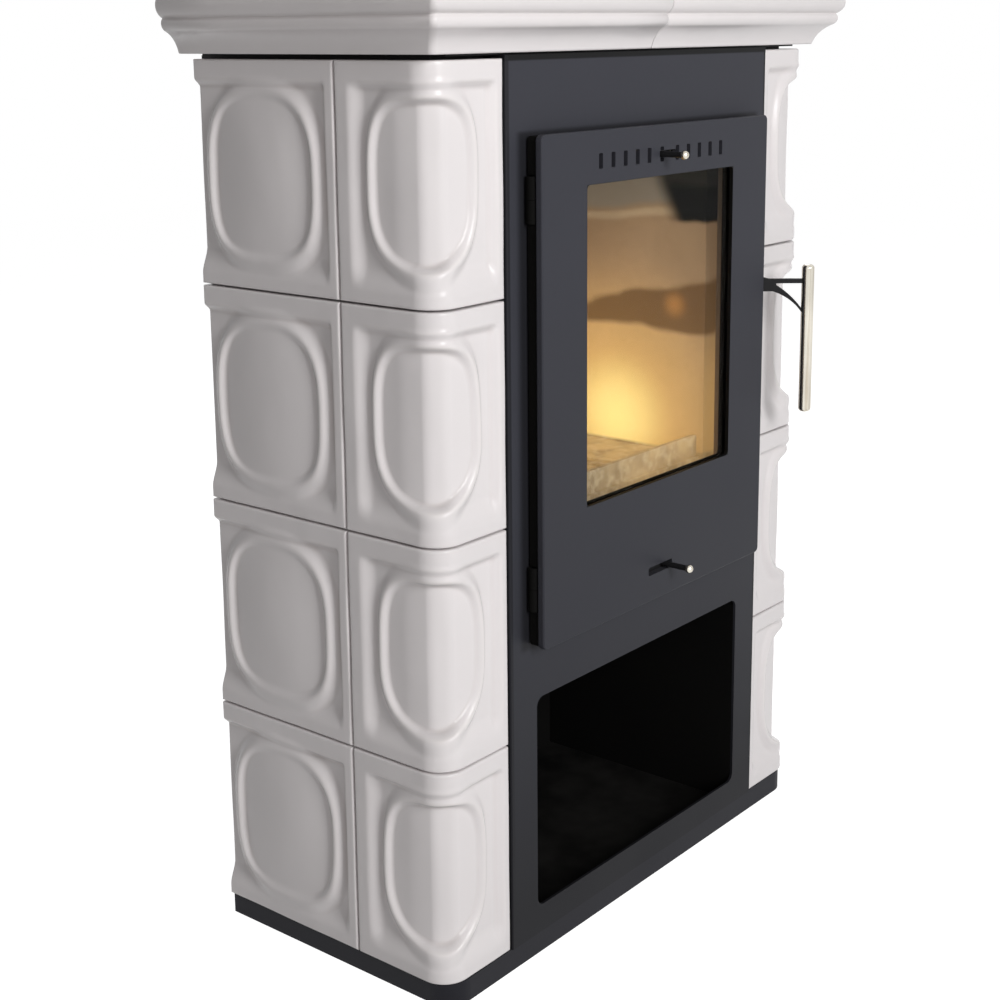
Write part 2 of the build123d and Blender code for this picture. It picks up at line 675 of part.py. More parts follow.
def make_door_inside():
    middle = (frame_bottom + frame_top) / 2
    height = frame_top - frame_bottom
    width = 2 * frame_half
    frame = front_window(width, height, 5, 0, middle, slab_back, frame_back)
    frame = frame - front_window(width - 2 * frame_wall, height - 2 * frame_wall, 3, 0, middle, slab_back - 1,
                                 frame_back - frame_wall)
    frame = frame - front_window(width - 2 * rope_lip, height - 2 * rope_lip, 3, 0, middle, slab_back - 1,
                                 frame_back + 1)
    # black core behind the slab's border, notched for the hinges and the handle
    core = front_window(2 * (door_half - core_inset), door_height - 2 * core_inset, slab_corner - core_inset, 0,
                        (door_bottom + door_top) / 2, slab_back, slab_back + core_depth)
    core = core - front_window(width - 2 * frame_wall, height - 2 * frame_wall, 3, 0, middle, slab_back - 1,
                               slab_back + core_depth + 1)
    for level in hinge_levels():
        core = core - block(-door_half - 1, hinge_x + leaf_length + 1, slab_back - 1, slab_back + core_depth + 1,
                            level - knuckle_height - 1, level + knuckle_height + 1)
    arm_room = arm_height / 2 + 2 * bracket_lug + 2
    core = core - block(handle_x - 15, door_half + 1, slab_back - 1, slab_back + core_depth + 1,
                        arm_level - arm_room, arm_level + arm_room)
    save("door_inner_frame", frame + core)

    rope_inset = rope_radius + 1
    path = Plane(origin=(0, frame_back + rope_radius, middle), x_dir=(1, 0, 0), z_dir=(0, 1, 0)) * RectangleRounded(
        width - 2 * rope_inset, height - 2 * rope_inset, 3 * rope_radius)
    wire = path.face().outer_wire()
    section = Plane(origin=wire @ 0, z_dir=wire % 0) * Circle(rope_radius)
    save("door_rope", sweep(section, path=wire))

    opening_middle = glass_opening_bottom + glass_opening_height / 2
    inner_w = glass_opening_width + 2
    inner_h = glass_opening_height + 2
    gasket = front_window(inner_w + 2 * gasket_width, inner_h + 2 * gasket_width, glass_opening_corner + gasket_width,
                          0, opening_middle, glass_front - gasket_thickness, glass_front)
    gasket = gasket - front_window(inner_w, inner_h, glass_opening_corner, 0, opening_middle,
                                   glass_front - gasket_thickness - 1, glass_front + 1)
    save("glass_gasket", gasket)

    save("door_glass", front_window(glass_width, glass_height, glass_corner, 0, opening_middle, glass_front,
                                    glass_back))

    clips = Part()
    foot = 9.0
    grip = 3.0 + rebate_clearance
    for side in (-1, 1):
        for level in (opening_middle - glass_height / 3, opening_middle, opening_middle + glass_height / 3):
            edge = glass_width / 2 + rebate_clearance + 0.5
            foot_x = sorted((side * edge, side * (edge + foot)))
            flap_x = sorted((side * (edge - grip), side * (edge + foot)))
            clips = clips + block(*foot_x, slab_back, glass_back + sheet, level - 10, level + 10)
            clips = clips + block(*flap_x, glass_back, glass_back + sheet, level - 10, level + 10)
    save("glass_clips", clips)


def slide_guide(x0, x1, level, height):
    """Frame behind the slab that holds a slide plate; its ends at x0 and x1 stop the plate."""
    plate_back = slab_back + running_gap + slide_plate + running_gap
    edge = height / 2 + running_gap
    outer = block(x0 - guide_wall, x1 + guide_wall, slab_back, plate_back + guide_lip,
                  level - edge - guide_wall, level + edge + guide_wall)
    track = block(x0, x1, slab_back - 1, plate_back, level - edge, level + edge)
    window = block(x0, x1, slab_back - 1, plate_back + guide_lip + 1, level - edge + guide_lip, level + edge - guide_lip)
    return outer - track - window


def make_air_slides():
    plate_front = slab_back + running_gap
    plate_back = plate_front + slide_plate
    upper_x0 = vent_places[0] - vent_pitch / 2
    upper_x1 = vent_places[-1] + vent_pitch / 2
    upper = block(upper_x0, upper_x1, plate_front, plate_back, vent_level - slide_height / 2,
                  vent_level + slide_height / 2)
    for x in vent_places:
        upper = upper - front_window(vent_width, vent_height, 1.5, x, vent_level, plate_front - 1, plate_back + 1)

    lower_x0 = lower_rod_x - lower_slide_length / 2
    lower_x1 = lower_rod_x + lower_slide_length / 2
    lower = block(lower_x0, lower_x1, plate_front, plate_back, lower_level - lower_slide_height / 2,
                  lower_level + lower_slide_height / 2)
    for side in (-1, 1):
        lower = lower - along_y(5, lower_rod_x + side * lower_slide_length / 3, lower_level, plate_front - 1,
                                plate_back + 1)

    for name, plate, rod_x, level in (("upper_air", upper, upper_rod_x, vent_level),
                                      ("lower_air", lower, lower_rod_x, lower_level)):
        rod = along_y(rod_radius, rod_x, level, slab_front - rod_reach, plate_front + 0.5)
        knob = Pos(rod_x, slab_front - rod_reach - knob_radius + 1, level) * Sphere(knob_radius)
        save(name + "_slide", plate + rod)
        save(name + "_knob", knob - rod)

    guides = slide_guide(upper_x0 - running_gap, upper_x1 + upper_travel + running_gap, vent_level, slide_height)
    guides = guides + slide_guide(lower_x0 - lower_travel - running_gap, lower_x1 + running_gap, lower_level,
                                  lower_slide_height)
    save("slide_guides", guides)


# ---- handle ----
def make_handle():
    z0 = arm_level - arm_height / 2
    z1 = arm_level + arm_height / 2
    grip_x = handle_x + grip_out
    grip_y = axis_y - grip_ahead
    bend_x = handle_x + arm_root_reach
    length = math.hypot(grip_x - bend_x, grip_y - axis_y)
    along = Vector(grip_x - bend_x, grip_y - axis_y, 0) / length
    side = Vector(-along.Y, along.X, 0)

    sleeve = upright(knuckle_radius, handle_x, axis_y, z0, z1)
    root = block(handle_x, bend_x, axis_y - arm_thickness / 2, axis_y + arm_thickness / 2, z0, z1)
    elbow = upright(arm_thickness / 2, bend_x, axis_y, z0, z1)
    # fork plate: first number runs from the bend to the grip, second is the height
    upper0 = z1 - 4 - prong
    upper1 = z1 - 4
    drop = brace_drop
    fork = make_face([
        Line((0, z0), (fork_start, z0)),
        ThreePointArc((fork_start, z0), (length * 0.72, z0 - drop * 0.36), (length, z0 - drop)),
        Line((length, z0 - drop), (length, z0 - drop + prong + 1)),
        ThreePointArc((length, z0 - drop + prong + 1), (length * 0.68, z0 - drop * 0.3 + prong),
                      (fork_start + 4, z0 + prong + 2)),
        Line((fork_start + 4, z0 + prong + 2), (fork_start + 4, upper0)),
        Line((fork_start + 4, upper0), (length, upper0)),
        Line((length, upper0), (length, upper1)),
        Line((length, upper1), (fork_start - 4, upper1)),
        Line((fork_start - 4, upper1), (0, z1)),
        Line((0, z1), (0, z0)),
    ])
    fork_plane = Plane(origin=(bend_x, axis_y, 0), x_dir=along, z_dir=-side)
    fork = extrude(fork_plane * fork, arm_thickness / 2, both=True)

    # hook through the front panel, with its nose towards the keeper
    hook_z0 = z0 + 2
    hook_z1 = z1 - 2
    tongue = block(handle_x - hook_thickness / 2, handle_x + hook_thickness / 2, axis_y, axis_y + hook_reach,
                   hook_z0, hook_z1)
    nose = block(handle_x - hook_nose, handle_x, axis_y + hook_reach - hook_thickness, axis_y + hook_reach,
                 hook_z0, hook_z1)
    arm = sleeve + root + elbow + fork + tongue + nose
    arm = arm - upright(pin_radius + pin_clearance, handle_x, axis_y, z0 - 1, z1 + 1)
    arm = arm - upright(grip_radius, grip_x, grip_y, grip_bottom, grip_top)
    save("handle_arm", arm)

    grip = upright(grip_radius, grip_x, grip_y, grip_bottom, grip_top)
    grip = fillet(grip.edges().filter_by(GeomType.CIRCLE), grip_radius * 0.6)
    save("handle_grip", grip)

    # bracket on the slab's back: two lugs joined by the pivot pin
    bracket = upright(pin_radius, handle_x, axis_y, z0 - running_gap - bracket_lug, z1 + running_gap + bracket_lug)
    for low in (z0 - running_gap - bracket_lug, z1 + running_gap):
        bracket = bracket + block(handle_x - 9, handle_x, slab_back, axis_y + knuckle_radius - 0.2,
                                  low, low + bracket_lug)
        bracket = bracket + upright(knuckle_radius - 0.2, handle_x, axis_y, low, low + bracket_lug)
    save("handle_bracket", bracket)


def main():
    make_plinth()
    make_flat_tiles()
    make_corner_tiles()
    make_cornice()
    make_top()
    make_casing()
    make_front_panel()
    make_store()
    make_firebox()
    make_lining()
    make_air_duct()
    make_hinges()
    make_door_slab()
    make_door_inside()
    make_air_slides()
    make_handle()
    os.makedirs("parts", exist_ok=True)
    for name, shape in solids.items():
        export_step(shape, f"parts/{name}.step")
    print(len(solids), "nodes")


if __name__ == "__main__":
    main()
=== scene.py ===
import math

import bpy
import numpy as np
from mathutils import Matrix, Vector


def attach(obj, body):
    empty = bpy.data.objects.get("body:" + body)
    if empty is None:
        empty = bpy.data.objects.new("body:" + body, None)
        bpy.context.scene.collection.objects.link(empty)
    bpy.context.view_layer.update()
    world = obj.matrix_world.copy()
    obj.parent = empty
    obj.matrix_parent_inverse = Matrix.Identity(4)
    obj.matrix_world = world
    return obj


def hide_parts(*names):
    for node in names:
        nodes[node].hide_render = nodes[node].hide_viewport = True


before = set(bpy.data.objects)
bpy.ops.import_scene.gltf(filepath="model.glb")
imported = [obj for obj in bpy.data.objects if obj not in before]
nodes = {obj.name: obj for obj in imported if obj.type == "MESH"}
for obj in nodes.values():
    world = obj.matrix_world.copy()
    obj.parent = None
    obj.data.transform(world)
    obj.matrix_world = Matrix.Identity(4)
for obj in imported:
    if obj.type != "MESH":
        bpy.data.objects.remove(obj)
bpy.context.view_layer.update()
print("frame loaded:", len(nodes), "nodes")

# sizes are in metres: x to the right, y backwards, z up from the floor
tileFace = -0.161                # y of the tile faces at the front
stoveHalf = 0.325                # half the tiled width


def softStep(low, high, x):
    # 0 below low, 1 above high, an even S curve between: t^2 (3 - 2t)
    t = np.clip((x - low) / (high - low), 0.0, 1.0)
    return t * t * (3 - 2 * t)


def edgeSpaced(length, step, rim):
    # places along a length: fine near both ends, even in between
    near = rim * np.array([0.0, 0.12, 0.32, 0.6, 1.0])
    count = max(2, int(round((length - 2 * rim) / step)))
    middle = np.linspace(rim, length - rim, count + 1)[1:-1]
    return np.concatenate([near, middle, length - near[::-1]])


def rimDrop(distance, radius):
    # how far a quarter-round edge falls at a distance from the rim: r - sqrt(r^2 - (r - d)^2)
    d = np.clip(distance, 0, radius)
    return radius - np.sqrt(np.maximum(radius ** 2 - (radius - d) ** 2, 0))


def makePiece(name, points, faces, smooth, material, attributes=None):
    mesh = bpy.data.meshes.new(name)
    mesh.from_pydata(points.tolist(), [], faces)
    mesh.polygons.foreach_set("use_smooth", np.resize(np.asarray(smooth, bool), len(faces)))
    for label, values in (attributes or {}).items():
        layer = mesh.attributes.new(label, "FLOAT", "POINT")
        layer.data.foreach_set("value", np.asarray(values, np.float32).ravel())
    mesh.materials.append(material)
    mesh.update()
    piece = bpy.data.objects.new(name, mesh)
    bpy.context.scene.collection.objects.link(piece)
    return piece


def gridFaces(rows, columns, wrapRows=False, wrapColumns=False):
    # quads of a grid whose point (i, j) has the number i * columns + j
    i = np.arange(rows if wrapRows else rows - 1)
    j = np.arange(columns if wrapColumns else columns - 1)
    i, j = np.meshgrid(i, j, indexing="ij")
    nextRow, nextColumn = (i + 1) % rows, (j + 1) % columns
    quads = [i * columns + j, nextRow * columns + j, nextRow * columns + nextColumn, i * columns + nextColumn]
    return np.stack(quads, -1).reshape(-1, 4).tolist()


def mirrorShape(points, faces):
    # the right-hand twin: x changes sign, and each face turns round to keep looking outwards
    return points * [-1, 1, 1], [face[::-1] for face in faces]


def feed(tree, socket, value):
    # another node's output, a colour or a number into a socket
    if isinstance(value, bpy.types.NodeSocket):
        tree.links.new(value, socket)
    else:
        socket.default_value = (*value, 1.0) if isinstance(value, tuple) else value


def addNode(tree, kind, **settings):
    # a setting that starts with in_ is a value on an input, any other is a property of the node
    node = tree.nodes.new(kind)
    for key, value in settings.items():
        if key.startswith("in_"):
            node.inputs[key[3:]].default_value = value
        else:
            setattr(node, key, value)
    return node


def addTexture(tree, kind, place, **settings):
    node = addNode(tree, kind, **settings)
    tree.links.new(place, node.inputs["Vector"])
    return node


def mathNode(tree, operation, *values):
    node = addNode(tree, "ShaderNodeMath", operation=operation)
    for place, value in enumerate(values):
        feed(tree, node.inputs[place], value)
    return node.outputs[0]


def rangeNode(tree, value, low, high, outLow=0.0, outHigh=1.0, smooth=False):
    # outLow at low and beyond, outHigh at high and beyond; low may be the larger one
    node = addNode(tree, "ShaderNodeMapRange", interpolation_type="SMOOTHSTEP" if smooth else "LINEAR")
    for place, number in enumerate((value, low, high, outLow, outHigh)):
        feed(tree, node.inputs[place], number)
    return node.outputs[0]


def mixColour(tree, factor, a, b):
    node = addNode(tree, "ShaderNodeMix", data_type="RGBA")
    for place, value in ((0, factor), (6, a), (7, b)):
        feed(tree, node.inputs[place], value)
    return node.outputs[2]


def layered(tree, base, *coats):
    # colours laid over one another, each as (mask, share of the mask that counts, colour)
    for mask, share, colour in coats:
        if share < 1:
            mask = mathNode(tree, "MULTIPLY", mask, share)
        base = mixColour(tree, mask, base, colour)
    return base


def splitPlace(tree, vector):
    split = addNode(tree, "ShaderNodeSeparateXYZ")
    tree.links.new(vector, split.inputs[0])
    return split.outputs


def newGroup(name, numbers, outputs):
    # a node group that takes a place and some numbers and gives masks, heights or colours
    group = bpy.data.node_groups.new(name, "ShaderNodeTree")
    group.interface.new_socket(name="Vector", in_out="INPUT", socket_type="NodeSocketVector")
    for label, value in numbers.items():
        socket = group.interface.new_socket(name=label, in_out="INPUT", socket_type="NodeSocketFloat")
        socket.default_value = value
    for label, kind in outputs.items():
        group.interface.new_socket(name=label, in_out="OUTPUT", socket_type="NodeSocket" + kind)
    start = group.nodes.new("NodeGroupInput")
    end = group.nodes.new("NodeGroupOutput")
    return group, start.outputs, end.inputs


def buildCloudGroup():
    # slow and fine noise over the object, for uneven colour and sheen
    group, start, end = newGroup("unevenness", {"Slow scale": 6.0, "Fine scale": 120.0},
                                 {"Slow": "Float", "Fine": "Float"})
    for label, scale, detail in (("Slow", "Slow scale", 3.0), ("Fine", "Fine scale", 2.0)):
        noise = addTexture(group, "ShaderNodeTexNoise", start["Vector"], in_Detail=detail, in_Roughness=0.55)
        group.links.new(start[scale], noise.inputs["Scale"])
        group.links.new(rangeNode(group, noise.outputs[0], 0.3, 0.7), end[label])
    return group


def buildDustGroup():
    # pale dust that settles on faces which look upwards, broken up by noise
    group, start, end = newGroup("settledDust", {"Amount": 0.2}, {"Mask": "Float"})
    normal = addNode(group, "ShaderNodeNewGeometry").outputs["Normal"]
    upward = rangeNode(group, splitPlace(group, normal)[2], 0.35, 0.95, smooth=True)
    noise = addTexture(group, "ShaderNodeTexNoise", start["Vector"], in_Scale=22.0, in_Detail=4.0)
    patches = rangeNode(group, noise.outputs[0], 0.35, 0.75)
    mask = mathNode(group, "MULTIPLY", mathNode(group, "MULTIPLY", upward, patches), start["Amount"])
    group.links.new(mask, end["Mask"])
    return group


def buildGrainGroup():
    # fine grain of a sprayed or cast surface, as a height
    group, start, end = newGroup("surfaceGrain", {"Scale": 900.0, "Pits": 0.0}, {"Height": "Float"})
    noise = addTexture(group, "ShaderNodeTexNoise", start["Vector"], in_Detail=2.0)
    cells = addTexture(group, "ShaderNodeTexVoronoi", start["Vector"], feature="SMOOTH_F1")
    for texture in (noise, cells):
        group.links.new(start["Scale"], texture.inputs["Scale"])
    height = mathNode(group, "MULTIPLY_ADD", cells.outputs["Distance"], start["Pits"], noise.outputs[0])
    group.links.new(height, end["Height"])
    return group


cloudGroup = buildCloudGroup()
dustGroup = buildDustGroup()
grainGroup = buildGrainGroup()


def newMaterial(name, inputs):
    # one principled surface with its constant inputs, and the place on the object at rest
    material = bpy.data.materials.new(name)
    material.use_nodes = True
    tree = material.node_tree
    tree.nodes.clear()
    surface = tree.nodes.new("ShaderNodeBsdfPrincipled")
    for label, value in inputs.items():
        surface.inputs[label].default_value = value
    output = tree.nodes.new("ShaderNodeOutputMaterial")
    tree.links.new(surface.outputs[0], output.inputs[0])
    place = tree.nodes.new("ShaderNodeTexCoord").outputs["Object"]
    return material, tree, surface.inputs, place


def placeGroup(tree, group, place, **values):
    node = addNode(tree, "ShaderNodeGroup", node_tree=group)
    tree.links.new(place, node.inputs["Vector"])
    for label, value in values.items():
        node.inputs[label.replace("_", " ")].default_value = value
    return node.outputs


def addBump(tree, surface, height, strength, distance):
    bump = addNode(tree, "ShaderNodeBump", in_Strength=strength, in_Distance=distance)
    tree.links.new(height, bump.inputs["Height"])
    tree.links.new(bump.outputs[0], surface["Normal"])


# the pooled colour darkens the hollows, for pooled glaze and painted shade; the thin colour lightens the crests, for
# thinner glaze and a painted highlight
glazeLook = {
    "body": (0.79, 0.755, 0.757), "uneven": (0.765, 0.730, 0.732), "unevenShare": 0.35,
    "pooledAndShaded": (0.33, 0.27, 0.24), "thinAndHighlit": (0.85, 0.81, 0.80), "shine": 0.27, "roughness": (0.225, 0.260),
    "waveScale": 26.0, "waveStrength": 0.35, "waveHeight": 0.0022,
}


def buildGlaze():
    look = glazeLook
    material, tree, surface, place = newMaterial("whiteGlaze", {"Specular IOR Level": look["shine"]})
    # hollows of the relief get pooled glaze with painted shade, its crests thin glaze with a painted highlight
    poolingAndShade = addNode(tree, "ShaderNodeAttribute", attribute_name="poolingAndShade").outputs["Fac"]
    crestAndHighlight = addNode(tree, "ShaderNodeAttribute", attribute_name="crestAndHighlight").outputs["Fac"]
    slow = placeGroup(tree, cloudGroup, place, Slow_scale=9.0)["Slow"]
    base = layered(tree, look["body"], (slow, look["unevenShare"], look["uneven"]),
                   (crestAndHighlight, 1, look["thinAndHighlit"]), (poolingAndShade, 1, look["pooledAndShaded"]))
    tree.links.new(base, surface["Base Color"])
    tree.links.new(rangeNode(tree, slow, 0.0, 1.0, *look["roughness"]), surface["Roughness"])
    wave = addTexture(tree, "ShaderNodeTexNoise", place, in_Scale=look["waveScale"], in_Detail=1.5)
    addBump(tree, surface, wave.outputs[0], look["waveStrength"], look["waveHeight"])
    return material


frontLook = {"colour": (0.038, 0.039, 0.048), "light": (0.046, 0.047, 0.058), "roughness": 0.46, "shine": 0.1,
             "grain": 1500.0, "dust": 0.10}
blackLook = {"colour": (0.012, 0.012, 0.013), "light": (0.020, 0.020, 0.021), "roughness": 0.55, "shine": 0.12,
             "grain": 1100.0, "dust": 0.3}
plinthLook = dict(blackLook, colour=(0.013, 0.013, 0.017), light=(0.018, 0.018, 0.023), roughness=0.5,
                  grain=1200.0, dust=0.08)
leverLook = dict(blackLook, roughness=0.32, grain=900.0, dust=0.0)
# near black, darker than the stove's black paint: painted shade for the inside of the log store and for the parts in
# the gap behind the door and round the pane
shadeBlackLook = dict(blackLook, colour=(0.004, 0.004, 0.004), light=(0.007, 0.0066, 0.006), roughness=0.8, shine=0.04,
                grain=700.0, dust=0.03)
coreLook = dict(shadeBlackLook, grain=900.0, dust=0.0)
paintDust = (0.34, 0.32, 0.30)


def buildPaint(name, look, shade=None):
    # sprayed stove paint: slow unevenness in colour and sheen, fine grain, a little dust on top
    material, tree, surface, place = newMaterial(name, {"Specular IOR Level": look["shine"]})
    cloud = placeGroup(tree, cloudGroup, place, Slow_scale=5.0, Fine_scale=260.0)
    grain = placeGroup(tree, grainGroup, place, Scale=look["grain"], Pits=0.2)["Height"]
    dusty = placeGroup(tree, dustGroup, place, Amount=look["dust"])["Mask"]
    base = layered(tree, look["colour"], (cloud["Slow"], 0.6, look["light"]),
                   (cloud["Fine"], 0.2, look["light"]), (dusty, 1, paintDust))
    if shade:
        base = shade(tree, place, base)
    tree.links.new(base, surface["Base Color"])
    rough = rangeNode(tree, cloud["Slow"], 0.0, 1.0, look["roughness"] - 0.05, look["roughness"] + 0.06)
    tree.links.new(rough, surface["Roughness"])
    addBump(tree, surface, grain, 0.25, 0.0002)
    return material


# shadows in the front panel's paint: where each fades in, from and to, and how strong it gets
panelShadow = {
    "gapSide": (0.2165, 0.2050), "gapBottom": (0.330, 0.338), "gapTop": (0.838, 0.833), "gapShare": 0.85,
    "floor": (0.48, 0.06), "floorShare": 0.95, "topLine": (0.8990, 0.9005), "topShare": 0.95,
    "fold": (0.2225, 0.2245), "foldShare": 0.72,
    "dark": (0.010, 0.010, 0.012), "darkFloor": (0.009, 0.009, 0.011), "darkLine": (0.003, 0.003, 0.003),
}


def panelShade(tree, place, base):
    # darker beside the gap round the door, towards the floor, along the top edge and at the folds of both sides
    s = panelShadow
    x, _, z = splitPlace(tree, place)
    sideways = mathNode(tree, "ABSOLUTE", x)
    beside = mathNode(tree, "MULTIPLY", rangeNode(tree, z, *s["gapBottom"], smooth=True),
                      rangeNode(tree, z, *s["gapTop"], smooth=True))
    gap = mathNode(tree, "MULTIPLY", rangeNode(tree, sideways, *s["gapSide"], smooth=True), beside)
    return layered(tree, base, (gap, s["gapShare"], s["dark"]),
                   (rangeNode(tree, z, *s["floor"]), s["floorShare"], s["darkFloor"]),
                   (rangeNode(tree, z, *s["topLine"]), s["topShare"], s["darkLine"]),
                   (rangeNode(tree, sideways, *s["fold"], smooth=True), s["foldShare"], s["dark"]))


slabShadow = {
    "openingMiddle": 0.624, "openingHalfWidth": 0.1313, "openingHalfHeight": 0.1583, "openingEdgeBlack": (0.004, 0.004, 0.004),
    "floor": (0.72, 0.34), "floorShare": 0.34, "darkFloor": (0.014, 0.014, 0.016),
}


def slabShade(tree, place, base):
    # painted shade, a little darker towards the bottom; the cut edge of the glass opening is black
    s = slabShadow
    x, _, z = splitPlace(tree, place)
    upward = mathNode(tree, "ABSOLUTE", mathNode(tree, "SUBTRACT", z, s["openingMiddle"]))
    inside = mathNode(tree, "MULTIPLY",
                      mathNode(tree, "LESS_THAN", mathNode(tree, "ABSOLUTE", x), s["openingHalfWidth"]),
                      mathNode(tree, "LESS_THAN", upward, s["openingHalfHeight"]))
    return layered(tree, base, (rangeNode(tree, z, *s["floor"]), s["floorShare"], s["darkFloor"]),
                   (inside, 1, s["openingEdgeBlack"]))


sheetLook = {"colour": (0.56, 0.57, 0.58), "roughness": 0.34, "streak": 60.0, "stretch": (1.0, 1.0, 8.0)}
nickelLook = {"colour": (0.76, 0.72, 0.63), "roughness": 0.13, "streak": 90.0, "stretch": (3.0, 3.0, 0.08),
              "stain": (0.36, 0.31, 0.24)}


def buildMetal(name, look):
    # bare or plated metal with fine streaks along its length, tarnished in the streaks if its look has a stain
    material, tree, surface, place = newMaterial(name, {"Metallic": 1.0})
    mapping = addTexture(tree, "ShaderNodeMapping", place, in_Scale=look["stretch"])
    noise = addTexture(tree, "ShaderNodeTexNoise", mapping.outputs[0], in_Scale=look["streak"], in_Detail=3.0)
    lines = noise.outputs[0]
    slow = placeGroup(tree, cloudGroup, place, Slow_scale=30.0)["Slow"]
    base = layered(tree, look["colour"], (slow, 0.5, tuple(c * 0.72 for c in look["colour"])))
    if "stain" in look:
        base = layered(tree, base, (rangeNode(tree, lines, 0.44, 0.70, smooth=True), 0.7, look["stain"]))
    tree.links.new(base, surface["Base Color"])
    rough = rangeNode(tree, lines, 0.3, 0.7, look["roughness"] - 0.04, look["roughness"] + 0.08)
    tree.links.new(rough, surface["Roughness"])
    addBump(tree, surface, lines, 0.12, 0.0002)
    return material


ironLook = {"colour": (0.030, 0.028, 0.027), "light": (0.060, 0.052, 0.046), "ash": (0.42, 0.40, 0.37)}


def buildCastIron():
    material, tree, surface, place = newMaterial("castIron", {"Roughness": 0.72, "Metallic": 0.4})
    slow = placeGroup(tree, cloudGroup, place, Slow_scale=24.0)["Slow"]
    grain = placeGroup(tree, grainGroup, place, Scale=420.0, Pits=0.8)["Height"]
    dusty = placeGroup(tree, dustGroup, place, Amount=0.75)["Mask"]
    base = layered(tree, ironLook["colour"], (slow, 1, ironLook["light"]), (dusty, 1, ironLook["ash"]))
    tree.links.new(base, surface["Base Color"])
    addBump(tree, surface, grain, 0.5, 0.0006)
    return material


# light of the fire on what stands round it: centre, reach, and how much each axis counts
fireCentre = (0.125, tileFace + 0.138, 0.487)
evenly = (1.0, 1.0, 1.0)
fireGlow = {
    "core": (fireCentre, 0.085, (0.5, 1.0, 1.0)),
    "halo": (fireCentre, 0.21, (0.5, 1.0, 1.0)),
    "wide": ((0.06, tileFace + 0.11, 0.52), 0.46, evenly),
    "knot": ((0.145, tileFace + 0.060, 0.623), 0.020, (0.3, 1.0, 1.0)),
    "ash": ((0.10, tileFace + 0.10, 0.465), 0.26, evenly),
    "rope": ((0.10, tileFace + 0.06, 0.50), 0.34, evenly),
}


def glowAround(tree, place, which):
    # 1 at the centre, falling softly to 0 at the reach
    centre, reach, squash = fireGlow[which]
    mapping = addTexture(tree, "ShaderNodeMapping", place, vector_type="POINT", in_Scale=squash,
                         in_Location=tuple(-c * s for c, s in zip(centre, squash)))
    length = addNode(tree, "ShaderNodeVectorMath", operation="LENGTH")
    tree.links.new(mapping.outputs[0], length.inputs[0])
    return rangeNode(tree, length.outputs["Value"], reach, 0.0, smooth=True)


def buildBandGroup():
    # 1 between two heights, with soft edges that wander with slow noise
    group, start, end = newGroup("softBand", {"Value": 0.0, "Low": 0.0, "High": 1.0, "Edge": 0.01, "Wander": 0.02},
                                 {"Mask": "Float"})
    low, high, edge = start["Low"], start["High"], start["Edge"]
    noise = addTexture(group, "ShaderNodeTexNoise", start["Vector"], in_Scale=14.0, in_Detail=3.0)
    uneven = mathNode(group, "SUBTRACT", noise.outputs[0], 0.5)
    value = mathNode(group, "MULTIPLY_ADD", uneven, start["Wander"], start["Value"])
    rise = rangeNode(group, value, low, mathNode(group, "ADD", low, edge), smooth=True)
    fall = rangeNode(group, value, mathNode(group, "SUBTRACT", high, edge), high, 1.0, 0.0, smooth=True)
    group.links.new(mathNode(group, "MULTIPLY", rise, fall), end["Mask"])
    return group


bandGroup = buildBandGroup()
# stains and seams of the fire boards: low, high, width of the soft edges, wander; heights are in metres,
# and the seams stand upright at a depth behind the tile face
boardBands = {
    "brownRise": (0.590, 0.95, 0.010, 0.022), "brownFall": (0.20, 0.662, 0.010, 0.030),
    "ash": (0.738, 0.95, 0.012, 0.012), "ashLine": (0.728, 0.742, 0.006, 0.012), "soot": (0.714, 0.95, 0.008, 0.020),
    "seamHeight": (0.554, 0.692, 0.02, 0.0), "nearSeam": (0.0992, 0.1003, 0.0008, 0.0),
    "farSeam": (0.1112, 0.1123, 0.0008, 0.0),
}


# how the stains' edges lean with the depth, and where the others fade in, from and to
boardEdges = {"brownLean": 0.20, "smokeLean": 0.11, "sootLean": -0.5, "sootNear": (-0.284, -0.312),
              "sootTop": (0.750, 0.768), "ashBed": (0.4600, 0.4553), "aboveBase": (0.40, 0.45)}


def softBand(tree, place, value, which):
    low, high, edge, wander = boardBands[which]
    node = addNode(tree, "ShaderNodeGroup", node_tree=bandGroup, in_Low=low, in_High=high, in_Edge=edge,
                   in_Wander=wander)
    tree.links.new(place, node.inputs["Vector"])
    tree.links.new(value, node.inputs["Value"])
    return node.outputs["Mask"]


ashLook = {
    "colour": (0.25, 0.21, 0.14), "dark": (0.15, 0.12, 0.08), "crumb": (0.40, 0.36, 0.28),
    "unlit": (0.016, 0.011, 0.006), "lit": (0.44, 0.265, 0.090), "litDark": (0.090, 0.058, 0.028),
    "litCrumb": (0.48, 0.37, 0.21),
}


def buildAshGroup():
    # flaky ash with paler crumbs, and the light that the embers throw on it
    look = ashLook
    group, start, end = newGroup("emberAsh", {}, {"Colour": "Color", "Glow": "Color", "Height": "Float"})
    place = start["Vector"]
    lumps = addTexture(group, "ShaderNodeTexNoise", place, in_Scale=30.0, in_Detail=3.0, in_Roughness=0.5).outputs[0]
    crumbs = addTexture(group, "ShaderNodeTexNoise", place, in_Scale=110.0, in_Detail=2.0).outputs[0]
    pale = rangeNode(group, crumbs, 0.45, 0.72, smooth=True)
    dark = rangeNode(group, lumps, 0.68, 0.30, smooth=True)
    near = glowAround(group, place, "ash")
    colour = layered(group, look["colour"], (dark, 1, look["dark"]), (pale, 0.25, look["crumb"]))
    glow = layered(group, look["unlit"], (near, 1, look["lit"]), (dark, 0.40, look["litDark"]),
                   (pale, 0.22, look["litCrumb"]))
    group.links.new(colour, end["Colour"])
    group.links.new(glow, end["Glow"])
    group.links.new(mathNode(group, "ADD", lumps, crumbs), end["Height"])
    return group


